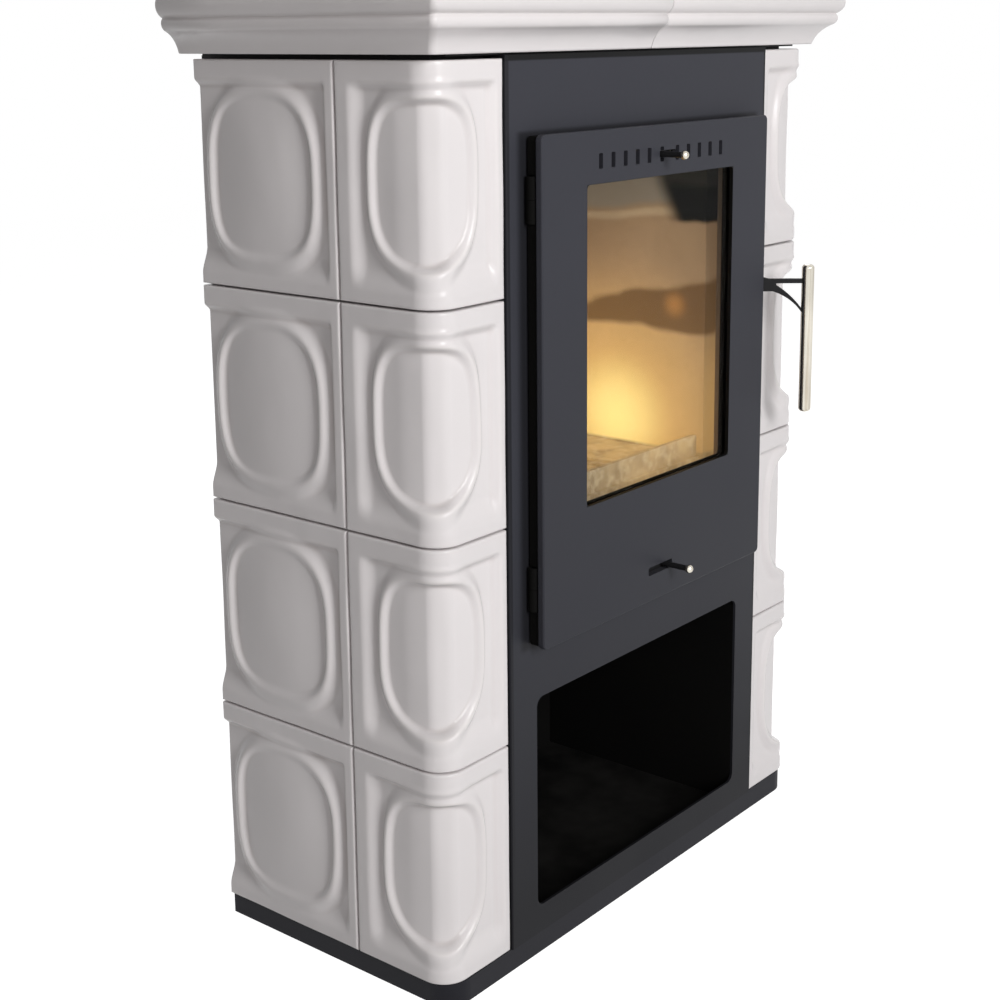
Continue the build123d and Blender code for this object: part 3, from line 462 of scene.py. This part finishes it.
ashGroup = buildAshGroup()
boardLook = {
    "board": (0.34, 0.25, 0.155), "flecks": (0.28, 0.205, 0.13), "clouds": (0.16, 0.12, 0.08),
    "brown": (0.085, 0.045, 0.018), "ash": (0.24, 0.23, 0.20), "soot": (0.004, 0.005, 0.004),
    "sootTop": (0.042, 0.042, 0.034),
    "unlit": (0.006, 0.004, 0.003), "litWide": (0.20, 0.118, 0.056), "litHalo": (0.68, 0.39, 0.105),
    "litCore": (1.0, 0.80, 0.26), "litBrown": (0.058, 0.026, 0.006), "litKnot": (0.50, 0.21, 0.045),
    "litAsh": (0.060, 0.056, 0.044), "litAshLine": (0.34, 0.28, 0.18), "litSoot": (0.001, 0.001, 0.001),
    "litSeam": (0.06, 0.03, 0.01), "hidden": (0.0, 0.0, 0.0),
}


def buildFireBoard():
    # light brown fire board, stained by smoke in drifting bands and lit by the fire
    look, edge = boardLook, boardEdges
    material, tree, surface, place = newMaterial(
        "fireBoard", {"Roughness": 0.9, "Specular IOR Level": 0.05, "Emission Strength": 1.0})
    cloud = placeGroup(tree, cloudGroup, place, Slow_scale=12.0, Fine_scale=300.0)
    ashes = placeGroup(tree, ashGroup, place)
    flakes = addTexture(tree, "ShaderNodeTexVoronoi", place, in_Scale=420.0)
    _, depth, height = splitPlace(tree, place)
    inward = mathNode(tree, "SUBTRACT", depth, tileFace)
    # the stains' upper edges come lower towards the back, and the soot's rear edge leans back as it rises
    brownLine = mathNode(tree, "MULTIPLY_ADD", inward, edge["brownLean"], height)
    smokeLine = mathNode(tree, "MULTIPLY_ADD", inward, edge["smokeLean"], height)
    sootLine = mathNode(tree, "MULTIPLY_ADD", height, edge["sootLean"], inward)
    brown = mathNode(tree, "MULTIPLY", softBand(tree, place, height, "brownRise"),
                     softBand(tree, place, brownLine, "brownFall"))
    ash = softBand(tree, place, smokeLine, "ash")
    ashLine = softBand(tree, place, smokeLine, "ashLine")
    soot = mathNode(tree, "MULTIPLY", softBand(tree, place, height, "soot"),
                    rangeNode(tree, sootLine, *edge["sootNear"], smooth=True))
    greyer = rangeNode(tree, height, *edge["sootTop"], smooth=True)
    sootColour = mixColour(tree, greyer, look["soot"], look["sootTop"])
    seams = mathNode(tree, "MULTIPLY", softBand(tree, place, height, "seamHeight"),
                     mathNode(tree, "MAXIMUM", softBand(tree, place, inward, "nearSeam"),
                              softBand(tree, place, inward, "farSeam")))
    bed = rangeNode(tree, height, *edge["ashBed"], smooth=True)
    base = layered(tree, look["board"], (cloud["Fine"], 1, look["flecks"]), (cloud["Slow"], 0.4, look["clouds"]),
                   (brown, 0.75, look["brown"]), (ash, 0.8, look["ash"]), (soot, 1, sootColour),
                   (bed, 1, ashes["Colour"]))
    glow = layered(tree, look["unlit"],
                   (glowAround(tree, place, "wide"), 1, look["litWide"]),
                   (glowAround(tree, place, "halo"), 1, look["litHalo"]),
                   (glowAround(tree, place, "core"), 1, look["litCore"]),
                   (brown, 0.8, look["litBrown"]), (glowAround(tree, place, "knot"), 0.55, look["litKnot"]),
                   (ash, 0.72, look["litAsh"]), (ashLine, 0.35, look["litAshLine"]), (soot, 1, look["litSoot"]),
                   (bed, 1, ashes["Glow"]), (seams, 0.22, look["litSeam"]))
    # below the ash bed no light reaches the boards
    glow = mixColour(tree, rangeNode(tree, height, *edge["aboveBase"]), look["hidden"], glow)
    tree.links.new(base, surface["Base Color"])
    tree.links.new(glow, surface["Emission Color"])
    addBump(tree, surface, flakes.outputs["Distance"], 0.10, 0.0003)
    return material


def buildGlass():
    # clear pane with a faint smoky tint
    material, tree, surface, place = newMaterial(
        "stoveGlass", {"Transmission Weight": 1.0, "IOR": 1.07, "Roughness": 0.0})
    slow = placeGroup(tree, cloudGroup, place, Slow_scale=7.0)["Slow"]
    tree.links.new(layered(tree, (0.97, 0.96, 0.94), (slow, 0.5, (0.88, 0.86, 0.82))), surface["Base Color"])
    return material


def buildRope():
    material, tree, surface, place = newMaterial("glassFibreRope", {"Roughness": 0.95, "Emission Strength": 1.0})
    weave = addTexture(tree, "ShaderNodeTexWave", place, in_Scale=260.0, in_Distortion=1.5,
                       bands_direction="DIAGONAL").outputs["Fac"]
    base = mixColour(tree, weave, (0.10, 0.085, 0.065), (0.19, 0.165, 0.135))
    glow = mixColour(tree, glowAround(tree, place, "rope"), (0.002, 0.0015, 0.001), (0.070, 0.038, 0.016))
    tree.links.new(base, surface["Base Color"])
    tree.links.new(glow, surface["Emission Color"])
    addBump(tree, surface, weave, 0.6, 0.0008)
    return material


def buildAshIron():
    # iron in the fire: coated with ash and lit by the embers
    material, tree, surface, place = newMaterial(
        "ashCoatedIron", {"Roughness": 0.9, "Specular IOR Level": 0.1, "Emission Strength": 1.0})
    ashes = placeGroup(tree, ashGroup, place)
    tree.links.new(ashes["Colour"], surface["Base Color"])
    tree.links.new(ashes["Glow"], surface["Emission Color"])
    addBump(tree, surface, ashes["Height"], 0.25, 0.0010)
    return material


glaze = buildGlaze()
blackPaint = buildPaint("blackStovePaint", blackLook)
# the log store, and the door's inner frame, hinges, gasket, clips and pane seal, get near-black paint as painted
# shade
storeBlack = buildPaint("blackStoreRoom", shadeBlackLook)
doorCore = buildPaint("blackDoorCore", coreLook)
fireBoard = buildFireBoard()
ashIron = buildAshIron()
slotMaterials = {
    "tile_glaze": glaze, "front_paint": buildPaint("anthracitePaint", frontLook),
    "plinth_paint": buildPaint("blackPlinthPaint", plinthLook), "black_steel": blackPaint,
    "lever_black": buildPaint("blackLeverPaint", leverLook), "nickel": buildMetal("nickelPlate", nickelLook),
    "sheet_steel": buildMetal("galvanisedSheet", sheetLook), "cast_iron": buildCastIron(),
    "fire_board": fireBoard, "door_glass": buildGlass(), "rope": buildRope(),
}
nodeMaterials = {
    "front_panel": buildPaint("anthracitePanelPaint", frontLook, panelShade),
    "door_slab": buildPaint("anthraciteSlabPaint", frontLook, slabShade),
    "store_liner": storeBlack, "store_rear": storeBlack, "door_inner_frame": doorCore, "hinge_brackets": doorCore,
    "door_hinges": doorCore, "glass_gasket": doorCore, "glass_clips": doorCore,
    "firebox_front": fireBoard, "log_guard": ashIron, "grate": ashIron,
}
for node in nodes.values():
    for holder in node.material_slots:
        key = holder.material.name.split(".")[0] if holder.material else ""
        holder.material = slotMaterials.get(key, blackPaint)
for name, material in nodeMaterials.items():
    nodes[name].material_slots[0].material = material
print("materials ready")


tile = {
    "height": 0.218, "pitch": 0.220, "bottom": 0.024, "thickness": 0.024, "rim": 0.0022, "rimRun": 0.0024,
    "step": 0.0016, "flatWidth": 0.188, "sideWidth": 0.118, "frontWidth": 0.096, "cornerRadius": 0.028,
    "flatRear": tileFace + 0.308, "openRear": 0.03, "topBand": 0.0175, "bottomBand": 0.0105, "jointBand": 0.0100,
    "wrapBand": 0.0140, "frontBand": 0.0070, "fieldDepth": 0.0068, "slopeTop": 0.009, "slopeBottom": 0.026,
    "ringWidth": 0.149, "ringHeight": 0.165, "ringPower": 2.95, "ringInset": 0.0148, "ringShift": 0.0025,
    "crestInset": 0.0038, "outerTop": 0.017, "medalFrom": 0.0046, "medalTo": 0.0120, "medalRise": 0.0006,
    "medalDome": 0.0092, "domeTaper": 0.35, "cornerEase": 0.0060, "easeReach": 0.054,
    "sway": 0.0006, "ripple": 0.00025,
}
# what differs between the flat tiles and the ones that wrap a corner; squarer is how much the ring's power
# gains from its middle to its top
tileKinds = {
    "flat": {"slopeRear": 0.013, "slopeFront": 0.007, "squarer": -0.35, "outerSide": 0.0135, "ringRise": 0.0080,
             "poolAndShade": 0.55},
    "wrapped": {"slopeRear": 0.018, "slopeFront": 0.0112, "squarer": 0.7, "outerSide": 0.0075, "ringRise": 0.0054,
                "poolAndShade": 0.3},
}
# how far the relief has to bend, in 1/m, before glaze gathers in it or thins on it, with painted shade in the
# hollows and a painted highlight on the crests
tileCover = {"bendLimit": 600, "start": 60, "poolAndShadeSpan": 420, "crestAndHighlightSpan": 300, "crestAndHighlight": 0.8}


def ringDistance(x, y, halfWidth, halfHeight, power):
    # distance inside a squared oval |x/a|^n + |y/b|^n = 1, from its value over its slope, and the share of x in it
    u = np.abs(x / halfWidth) + 1e-6
    v = np.abs(y / halfHeight) + 1e-6
    total = u ** power + v ** power
    radius = total ** (1 / power)
    slopeX = radius * u ** (power - 1) / total / halfWidth
    slopeY = radius * v ** (power - 1) / total / halfHeight
    return (1 - radius) / np.hypot(slopeX, slopeY), u ** power / total


def tileRelief(kind, across, up, fieldFrom, fieldTo, ringCentre, seed):
    # height above the flat bands: -fieldDepth field + ringRise ridge + medal (medalRise + swell) + ripple
    t, k = tile, tileKinds[kind]
    middle = t["height"] / 2
    halfWidth, halfHeight = t["ringWidth"] / 2, t["ringHeight"] / 2
    # slow waves of 20 and 11 cm, moved along by the seed, so that no two tiles are quite the same
    sway = t["sway"] * np.sin(across * 31 + seed * 1.7) * np.sin(up * 27 + seed * 2.3)
    ripple = t["ripple"] * np.sin(across * 55 + seed) * np.cos(up * 48 + seed * 3.1)
    field = (softStep(0, k["slopeRear"], across - fieldFrom + sway)
             * softStep(0, k["slopeFront"], fieldTo - across + sway)
             * softStep(0, t["slopeTop"], t["height"] - t["topBand"] - up + sway)
             * softStep(0, t["slopeBottom"], up - t["bottomBand"] + sway))
    # the corner rings are squarer at the top, the flat ones at the bottom
    power = t["ringPower"] + k["squarer"] * (up / middle - 1)
    ring, sideShare = ringDistance(across - ringCentre, up - middle, halfWidth, halfHeight, power)
    ring = ring + sway
    outer = t["outerTop"] + (k["outerSide"] - t["outerTop"]) * sideShare
    medal = softStep(t["medalFrom"], t["medalTo"], ring)
    ridge = softStep(0, 1, (ring - t["crestInset"] + outer) / outer) * (1 - medal)
    if kind == "wrapped":  # the medallion eases round the corner on a larger radius than the tile
        swell = -t["cornerEase"] * np.clip(1 - (across / t["easeReach"]) ** 2, 0, 1) ** 2
    else:  # a dome over the width, a little lower towards its top and bottom
        sideways = np.clip((across - ringCentre) / halfWidth, -1, 1)
        upward = np.clip((up - middle) / halfHeight, -1, 1)
        swell = t["medalDome"] * (1 - sideways ** 2) * (1 - t["domeTaper"] * upward ** 2)
    return -t["fieldDepth"] * field + k["ringRise"] * ridge + medal * (t["medalRise"] + swell) + ripple


def glazeCover(bend, cover, poolAndShade):
    # glaze gathers in hollows and thins on crests; the same masks paint shade into the hollows and a highlight onto
    # the crests
    poolingAndShade = np.clip((bend - cover["start"]) / cover["poolAndShadeSpan"], 0, 1) * poolAndShade
    crestAndHighlight = np.clip((-bend - cover["start"]) / cover["crestAndHighlightSpan"], 0, 1) * cover["crestAndHighlight"]
    return poolingAndShade, crestAndHighlight


def tileMasks(height, across, up, poolAndShade):
    # the relief's curvature tells hollows from crests: the sum of its second slopes in both directions
    slopeAcross = np.gradient(height, across, axis=0)
    slopeUp = np.gradient(height, up, axis=1)
    bend = np.gradient(slopeAcross, across, axis=0) + np.gradient(slopeUp, up, axis=1)
    bend = np.clip(bend, -tileCover["bendLimit"], tileCover["bendLimit"])
    for _ in range(2):  # soften a little in both directions
        padded = np.pad(bend, 1, mode="edge")
        bend = (padded[:-2, 1:-1] + padded[2:, 1:-1] + padded[1:-1, :-2] + padded[1:-1, 2:] + 2 * bend) / 6
    return glazeCover(bend, tileCover, poolAndShade)


def tileShell(name, front, back, masks, mirrored):
    # front grid (along, up) plus a plain back of two points to a column, closed on all sides
    along, tall = front.shape[:2]
    points = np.concatenate([front.reshape(-1, 3), back.reshape(-1, 3)])
    faces = gridFaces(along, tall)
    smooth = [True] * len(faces)
    base = along * tall
    low = base + 2 * np.arange(along)
    high = low + 1
    bottomRow = np.arange(along) * tall
    topRow = bottomRow + tall - 1
    walls = np.concatenate([
        np.stack([bottomRow[:-1], low[:-1], low[1:], bottomRow[1:]], -1),
        np.stack([topRow[1:], high[1:], high[:-1], topRow[:-1]], -1),
        np.stack([low[:-1], high[:-1], high[1:], low[1:]], -1)]).tolist()
    walls.append(list(range(tall)) + [int(high[0]), int(low[0])])
    walls.append(list(range(base - 1, base - 1 - tall, -1)) + [int(low[-1]), int(high[-1])])
    faces += walls
    smooth += [False] * len(walls)
    if mirrored:
        points, faces = mirrorShape(points, faces)
    poolingAndShade, crestAndHighlight = (np.concatenate([mask.ravel(), np.zeros(2 * along)]) for mask in masks)
    return makePiece(name, points, faces, smooth, glaze, {"poolingAndShade": poolingAndShade, "crestAndHighlight": crestAndHighlight})


def plainBack(x, y, base):
    # the back of a tile: its lower and upper edge over the plan line (x, y)
    return np.stack([np.repeat(x[:, None], 2, 1), np.repeat(y[:, None], 2, 1),
                     np.tile([base, base + tile["height"]], (len(x), 1))], -1)


def flatTile(name, row, mirrored):
    t = tile
    across = edgeSpaced(t["flatWidth"], t["step"], t["rimRun"])
    up = edgeSpaced(t["height"], t["step"], t["rimRun"])
    a, u = np.meshgrid(across, up, indexing="ij")
    # the field runs on past the rear edge, so it has no slope there
    relief = tileRelief("flat", a, u, -t["openRear"], t["flatWidth"] - t["jointBand"],
                        t["ringInset"] + t["ringWidth"] / 2, row * 2.1 + (7 if mirrored else 0))
    masks = tileMasks(relief, across, up, tileKinds["flat"]["poolAndShade"])
    rim = np.minimum(np.minimum(a, t["flatWidth"] - a), np.minimum(u, t["height"] - u))
    relief = relief - rimDrop(rim, t["rim"])
    base = t["bottom"] + (row - 1) * t["pitch"]
    front = np.stack([-stoveHalf - relief, t["flatRear"] - a, base + u], -1)
    back = plainBack(np.full(len(across), t["thickness"] - stoveHalf), t["flatRear"] - across, base)
    return tileShell(name, front, back, masks, mirrored)


def cornerPath(places, radius, reachSide):
    # plan line of the corner, from the side joint round the corner to the front: point and outward direction
    straight = reachSide - radius
    quarter = radius * math.pi / 2
    turn = np.clip((places - straight) / quarter, 0, 1) * math.pi / 2
    beyond = np.maximum(places - straight - quarter, 0)
    x = radius * (1 - np.cos(turn)) + beyond
    y = np.where(places < straight, reachSide - places, radius * (1 - np.sin(turn)))
    return x, y, -np.cos(turn), -np.sin(turn)


def cornerTile(name, row, mirrored):
    t = tile
    r = t["cornerRadius"]
    length = t["sideWidth"] - r + r * math.pi / 2 + t["frontWidth"] - r
    along = edgeSpaced(length, t["step"], t["rimRun"])
    up = edgeSpaced(t["height"], t["step"], t["rimRun"])
    x, y, nx, ny = cornerPath(along, r, t["sideWidth"])
    # the relief runs over x - y, from minus the side width at the side joint to the front width
    w, u = np.meshgrid(x - y, up, indexing="ij")
    fieldFrom, fieldTo = t["wrapBand"] - t["sideWidth"], t["frontWidth"] - t["frontBand"]
    relief = tileRelief("wrapped", w, u, fieldFrom, fieldTo, (fieldFrom + fieldTo) / 2 - t["ringShift"],
                        row * 3.7 + (5 if mirrored else 0))
    masks = tileMasks(relief, along, up, tileKinds["wrapped"]["poolAndShade"])
    s = np.repeat(along[:, None], len(up), 1)
    rim = np.minimum(np.minimum(s, length - s), np.minimum(u, t["height"] - u))
    relief = relief - rimDrop(rim, t["rim"])
    base = t["bottom"] + (row - 1) * t["pitch"]
    front = np.stack([-stoveHalf + x[:, None] + nx[:, None] * relief,
                      tileFace + y[:, None] + ny[:, None] * relief, base + u], -1)
    back = plainBack(-stoveHalf + x - nx * t["thickness"], tileFace + y - ny * t["thickness"], base)
    return tileShell(name, front, back, masks, mirrored)


for sideName, mirrored in (("left", False), ("right", True)):
    for row in (1, 2, 3, 4):
        for kind, build in (("tile", flatTile), ("corner", cornerTile)):
            piece = build(f"glazed_{kind}_{sideName}_{row}", row, mirrored)
            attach(piece, "stove")
            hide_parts(f"{kind}_{sideName}_{row}")
print("tiles ready")


cornice = {
    "bottom": 0.907, "height": 0.059, "inside": 0.052, "cover": 0.004, "ledge": 0.012, "mitreRadius": 0.006,
    "rear": tileFace + 0.322, "joint": 0.0005, "endRound": 0.0012, "endRun": 0.0004, "arcPoints": 14,
    # three folds, in millimetres: overhang past the tile face and height above the cornice's underside
    "folds": (((4.5, 0), (9.8, 11.5), (19.5, 20.5)), ((21.5, 21.5), (25.6, 27.5), (23.8, 33.8)),
              ((26, 35), (31.5, 48), (20, 59))),
    "middle": (0.012, 0.030), "poolAndShade": 0.3,
}
corniceCover = {"start": 40, "poolAndShadeSpan": 500, "crestAndHighlightSpan": 400, "crestAndHighlight": 0.7}


def threePointArc(a, b, c, count):
    # points on the circle through a, b and c, from a to c
    (ax, ay), (bx, by), (cx, cy) = a, b, c
    d = 2 * (ax * (by - cy) + bx * (cy - ay) + cx * (ay - by))
    squareA, squareB, squareC = ax ** 2 + ay ** 2, bx ** 2 + by ** 2, cx ** 2 + cy ** 2
    ox = (squareA * (by - cy) + squareB * (cy - ay) + squareC * (ay - by)) / d
    oy = (squareA * (cx - bx) + squareB * (ax - cx) + squareC * (bx - ax)) / d
    angles = np.unwrap([math.atan2(py - oy, px - ox) for px, py in (a, b, c)])
    turn = np.linspace(angles[0], angles[2], count)
    radius = math.hypot(ax - ox, ay - oy)
    return np.stack([ox + radius * np.cos(turn), oy + radius * np.sin(turn)], -1)


def corniceSection():
    # the moulding that shows, from the bottom up, and the plain inside from the top down
    c = cornice
    shown = np.concatenate([threePointArc(*fold, c["arcPoints"]) for fold in c["folds"]]) / 1000
    inner = np.array([[c["ledge"] - c["inside"], c["height"]], [c["ledge"] - c["inside"], c["height"] - c["cover"]],
                      [-c["inside"], c["height"] - c["cover"]], [-c["inside"], 0.0]])
    return shown, inner


def buildCornice(name, mirrored):
    c = cornice
    shown, inner = corniceSection()
    section = np.concatenate([shown, inner])
    count = len(section)
    over, height = section[:, 0], c["bottom"] + section[:, 1]

    def stations(x, y):
        return np.stack(np.broadcast_arrays(x, y, height[None, :]), -1)

    # stations: along the side, round the mitre, along the front to the joint
    r, joint = c["mitreRadius"], c["joint"]
    sideRun = np.array([c["rear"], c["rear"] - c["endRun"], c["rear"] - c["endRound"], 0.08, 0.0, -0.08])
    frontRun = np.array([-0.24, -0.16, -0.08, -joint - c["endRound"], -joint - c["endRun"], -joint])
    bend = np.linspace(0, math.pi / 2, 9)[:, None]
    grid = np.concatenate([
        stations(-stoveHalf - over, sideRun[:, None]),
        stations(-stoveHalf - over + r - r * np.cos(bend), tileFace - over + r - r * np.sin(bend)),
        stations(frontRun[:, None], tileFace - over)])
    # rounded ends: the end sections shrink a little towards the middle of the moulding
    toMiddle = np.array(c["middle"]) - section
    inwards = toMiddle / np.linalg.norm(toMiddle, axis=1)[:, None] * c["endRound"]
    inwards[len(shown):] = 0
    for station, axis, shrink in ((0, 0, 1.0), (1, 0, 0.45), (-2, 1, 0.45), (-1, 1, 1.0)):
        grid[station, :, axis] -= inwards[:, 0] * shrink
        grid[station, :, 2] += inwards[:, 1] * shrink
    points = grid.reshape(-1, 3)
    faces = gridFaces(len(grid), count, wrapColumns=True)
    smooth = np.tile(np.arange(count) < len(shown) - 1, len(grid) - 1).tolist() + [False, False]
    faces.append(list(range(count))[::-1])
    faces.append(list(range(len(points) - count, len(points))))
    if mirrored:
        points, faces = mirrorShape(points, faces)
    # how sharply the moulding bends at each point, softened over five points
    tangent = np.gradient(shown, axis=0)
    direction = np.unwrap(np.arctan2(tangent[:, 1], tangent[:, 0]))
    run = np.concatenate([[0], np.cumsum(np.linalg.norm(np.diff(shown, axis=0), axis=1))])
    bendRate = np.convolve(np.pad(-np.gradient(direction, run), 2, mode="edge"), np.ones(5) / 5, mode="valid")
    plain = np.zeros(len(inner))
    # glaze pooling with painted shade in the moulding's hollows, thinner glaze with a painted highlight on its
    # crests
    poolingAndShade, crestAndHighlight = (np.tile(np.concatenate([mask, plain]), len(grid))
                      for mask in glazeCover(bendRate, corniceCover, c["poolAndShade"]))
    return makePiece(name, points, faces, smooth, glaze, {"poolingAndShade": poolingAndShade, "crestAndHighlight": crestAndHighlight})


for sideName, mirrored in (("left", False), ("right", True)):
    piece = buildCornice(f"glazed_cornice_{sideName}", mirrored)
    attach(piece, "stove")
    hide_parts(f"cornice_{sideName}")
print("cornice ready")


paneSeal = {"halfWidth": 0.1312, "low": 0.4658, "high": 0.7822, "corner": 0.005, "lap": 0.003,
            "front": tileFace - 0.0129, "back": tileFace - 0.0075, "round": 0.0006}


def buildPaneSeal():
    # a soft-edged square section carried round a rounded rectangle behind the pane
    p = paneSeal
    e, lap, front, back = p["round"], p["lap"], p["front"], p["back"]
    halfTall, middle = (p["high"] - p["low"]) / 2, (p["high"] + p["low"]) / 2
    bend = np.linspace(0, math.pi / 2, 7)
    turn = np.concatenate([bend + corner * math.pi / 2 for corner in range(4)])
    outX, outZ = np.cos(turn), np.sin(turn)
    signX = np.repeat([1, -1, -1, 1], len(bend))
    signZ = np.repeat([1, 1, -1, -1], len(bend))
    x = signX * (p["halfWidth"] - p["corner"]) + p["corner"] * outX
    z = middle + signZ * (halfTall - p["corner"]) + p["corner"] * outZ
    away = np.array([0.0, 0.0, e, lap - e, lap, lap, lap - e, e])
    deep = np.array([back - e, front + e, front, front, front + e, back - e, back, back])
    points = np.stack(np.broadcast_arrays(x[:, None] + outX[:, None] * away, deep[None, :],
                                          z[:, None] + outZ[:, None] * away), -1).reshape(-1, 3)
    faces = gridFaces(len(x), len(deep), wrapRows=True, wrapColumns=True)
    return makePiece("pane_seal", points, faces, True, doorCore)


seal = buildPaneSeal()
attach(seal, "door")
print("seal ready")


white = (1.0, 1.0, 1.0)
room = {"ambient": 0.12, "floorHalf": 6.0, "floorMatte": (0.36, 0.36, 0.36), "floorBounce": (0.62, 0.62, 0.62),
        "floorShine": 0.95}
lamps = {
    "windowLight": {"power": 90.0, "place": (-0.95, -3.3, 1.8), "target": (0.0, -0.1, 0.45), "size": (1.2, 1.56),
                    "colour": white},
    "fillLight": {"power": 5.0, "place": (-1.9, -1.5, 1.2), "target": (-0.2, 0.0, 1.3), "size": (1.2, 1.2),
                  "colour": (1.0, 0.93, 0.90)},
    "rearLight": {"power": 38.0, "place": (2.0, 1.5, 2.3), "target": (0.1, 0.0, 0.5), "size": (1.5, 1.5),
                  "colour": white},
}


def pickByRay(tree, other, seen, outputKind):
    # what the camera meets, straight or through glass and reflections, and what all other light meets
    rays = tree.nodes.new("ShaderNodeLightPath").outputs
    indirect = mathNode(tree, "MAXIMUM", rays["Is Glossy Ray"], rays["Is Transmission Ray"])
    pick = tree.nodes.new("ShaderNodeMixShader")
    tree.links.new(mathNode(tree, "MAXIMUM", rays["Is Camera Ray"], indirect), pick.inputs[0])
    tree.links.new(other.outputs[0], pick.inputs[1])
    tree.links.new(seen.outputs[0], pick.inputs[2])
    tree.links.new(pick.outputs[0], tree.nodes.new(outputKind).inputs[0])


def buildFloor():
    # a pale floor that looks as white as the backdrop but keeps the stove's soft shadow
    material = bpy.data.materials.new("paleFloor")
    material.use_nodes = True
    tree = material.node_tree
    tree.nodes.clear()
    matte = addNode(tree, "ShaderNodeBsdfDiffuse", in_Color=(*room["floorMatte"], 1.0))
    bounce = addNode(tree, "ShaderNodeBsdfDiffuse", in_Color=(*room["floorBounce"], 1.0))
    shine = addNode(tree, "ShaderNodeEmission", in_Color=(*white, 1.0), in_Strength=room["floorShine"])
    both = tree.nodes.new("ShaderNodeAddShader")
    tree.links.new(matte.outputs[0], both.inputs[0])
    tree.links.new(shine.outputs[0], both.inputs[1])
    pickByRay(tree, bounce, both, "ShaderNodeOutputMaterial")
    corners = np.array([[-1, -1, 0], [1, -1, 0], [1, 1, 0], [-1, 1, 0]], float)
    makePiece("paleFloor", corners * room["floorHalf"], [[0, 1, 2, 3]], False, material)


def buildWorld():
    world = bpy.data.worlds.new("studio")
    bpy.context.scene.world = world
    world.use_nodes = True
    tree = world.node_tree
    tree.nodes.clear()
    ambient = addNode(tree, "ShaderNodeBackground", in_Color=(*white, 1.0), in_Strength=room["ambient"])
    backdrop = addNode(tree, "ShaderNodeBackground", in_Color=(*white, 1.0), in_Strength=1.0)
    pickByRay(tree, ambient, backdrop, "ShaderNodeOutputWorld")


def buildLamp(name, lamp):
    data = bpy.data.lights.new(name, "AREA")
    data.shape = "RECTANGLE"
    data.size, data.size_y = lamp["size"]
    data.energy = lamp["power"]
    data.color = lamp["colour"]
    holder = bpy.data.objects.new(name, data)
    bpy.context.scene.collection.objects.link(holder)
    holder.location = lamp["place"]
    direction = Vector(lamp["target"]) - Vector(lamp["place"])
    holder.rotation_euler = direction.to_track_quat("-Z", "Y").to_euler()


# where the photograph was taken from: angles in degrees, lens and film in millimetres
photoView = {"azimuth": -50.7246, "elevation": 11.8730, "roll": -0.5595, "film": 36.0, "lens": 36.0 * 1.68259,
             "shift": -0.120, "place": (-1.41872, tileFace - 0.96606, 0.93010), "clip": (0.05, 50.0)}


def buildCamera():
    v = photoView
    azimuth, elevation, roll = (math.radians(v[angle]) for angle in ("azimuth", "elevation", "roll"))
    data = bpy.data.cameras.new("photoCamera")
    data.sensor_width = v["film"]
    data.lens = v["lens"]
    data.shift_y = v["shift"]
    data.clip_start, data.clip_end = v["clip"]
    camera = bpy.data.objects.new("photoCamera", data)
    bpy.context.scene.collection.objects.link(camera)
    back = np.array([math.sin(azimuth) * math.cos(elevation), -math.cos(azimuth) * math.cos(elevation),
                     math.sin(elevation)])
    right = np.array([math.cos(azimuth), math.sin(azimuth), 0.0])
    up = np.cross(back, right)
    c, s = math.cos(roll), math.sin(roll)
    turned = np.stack([c * right + s * up, -s * right + c * up, back], 1)
    camera.matrix_world = Matrix.Translation(v["place"]) @ Matrix(turned.tolist()).to_4x4()
    bpy.context.scene.camera = camera


buildFloor()
buildWorld()
for name, lamp in lamps.items():
    buildLamp(name, lamp)
buildCamera()
bpy.context.scene.view_settings.view_transform = "Standard"
print("room ready")
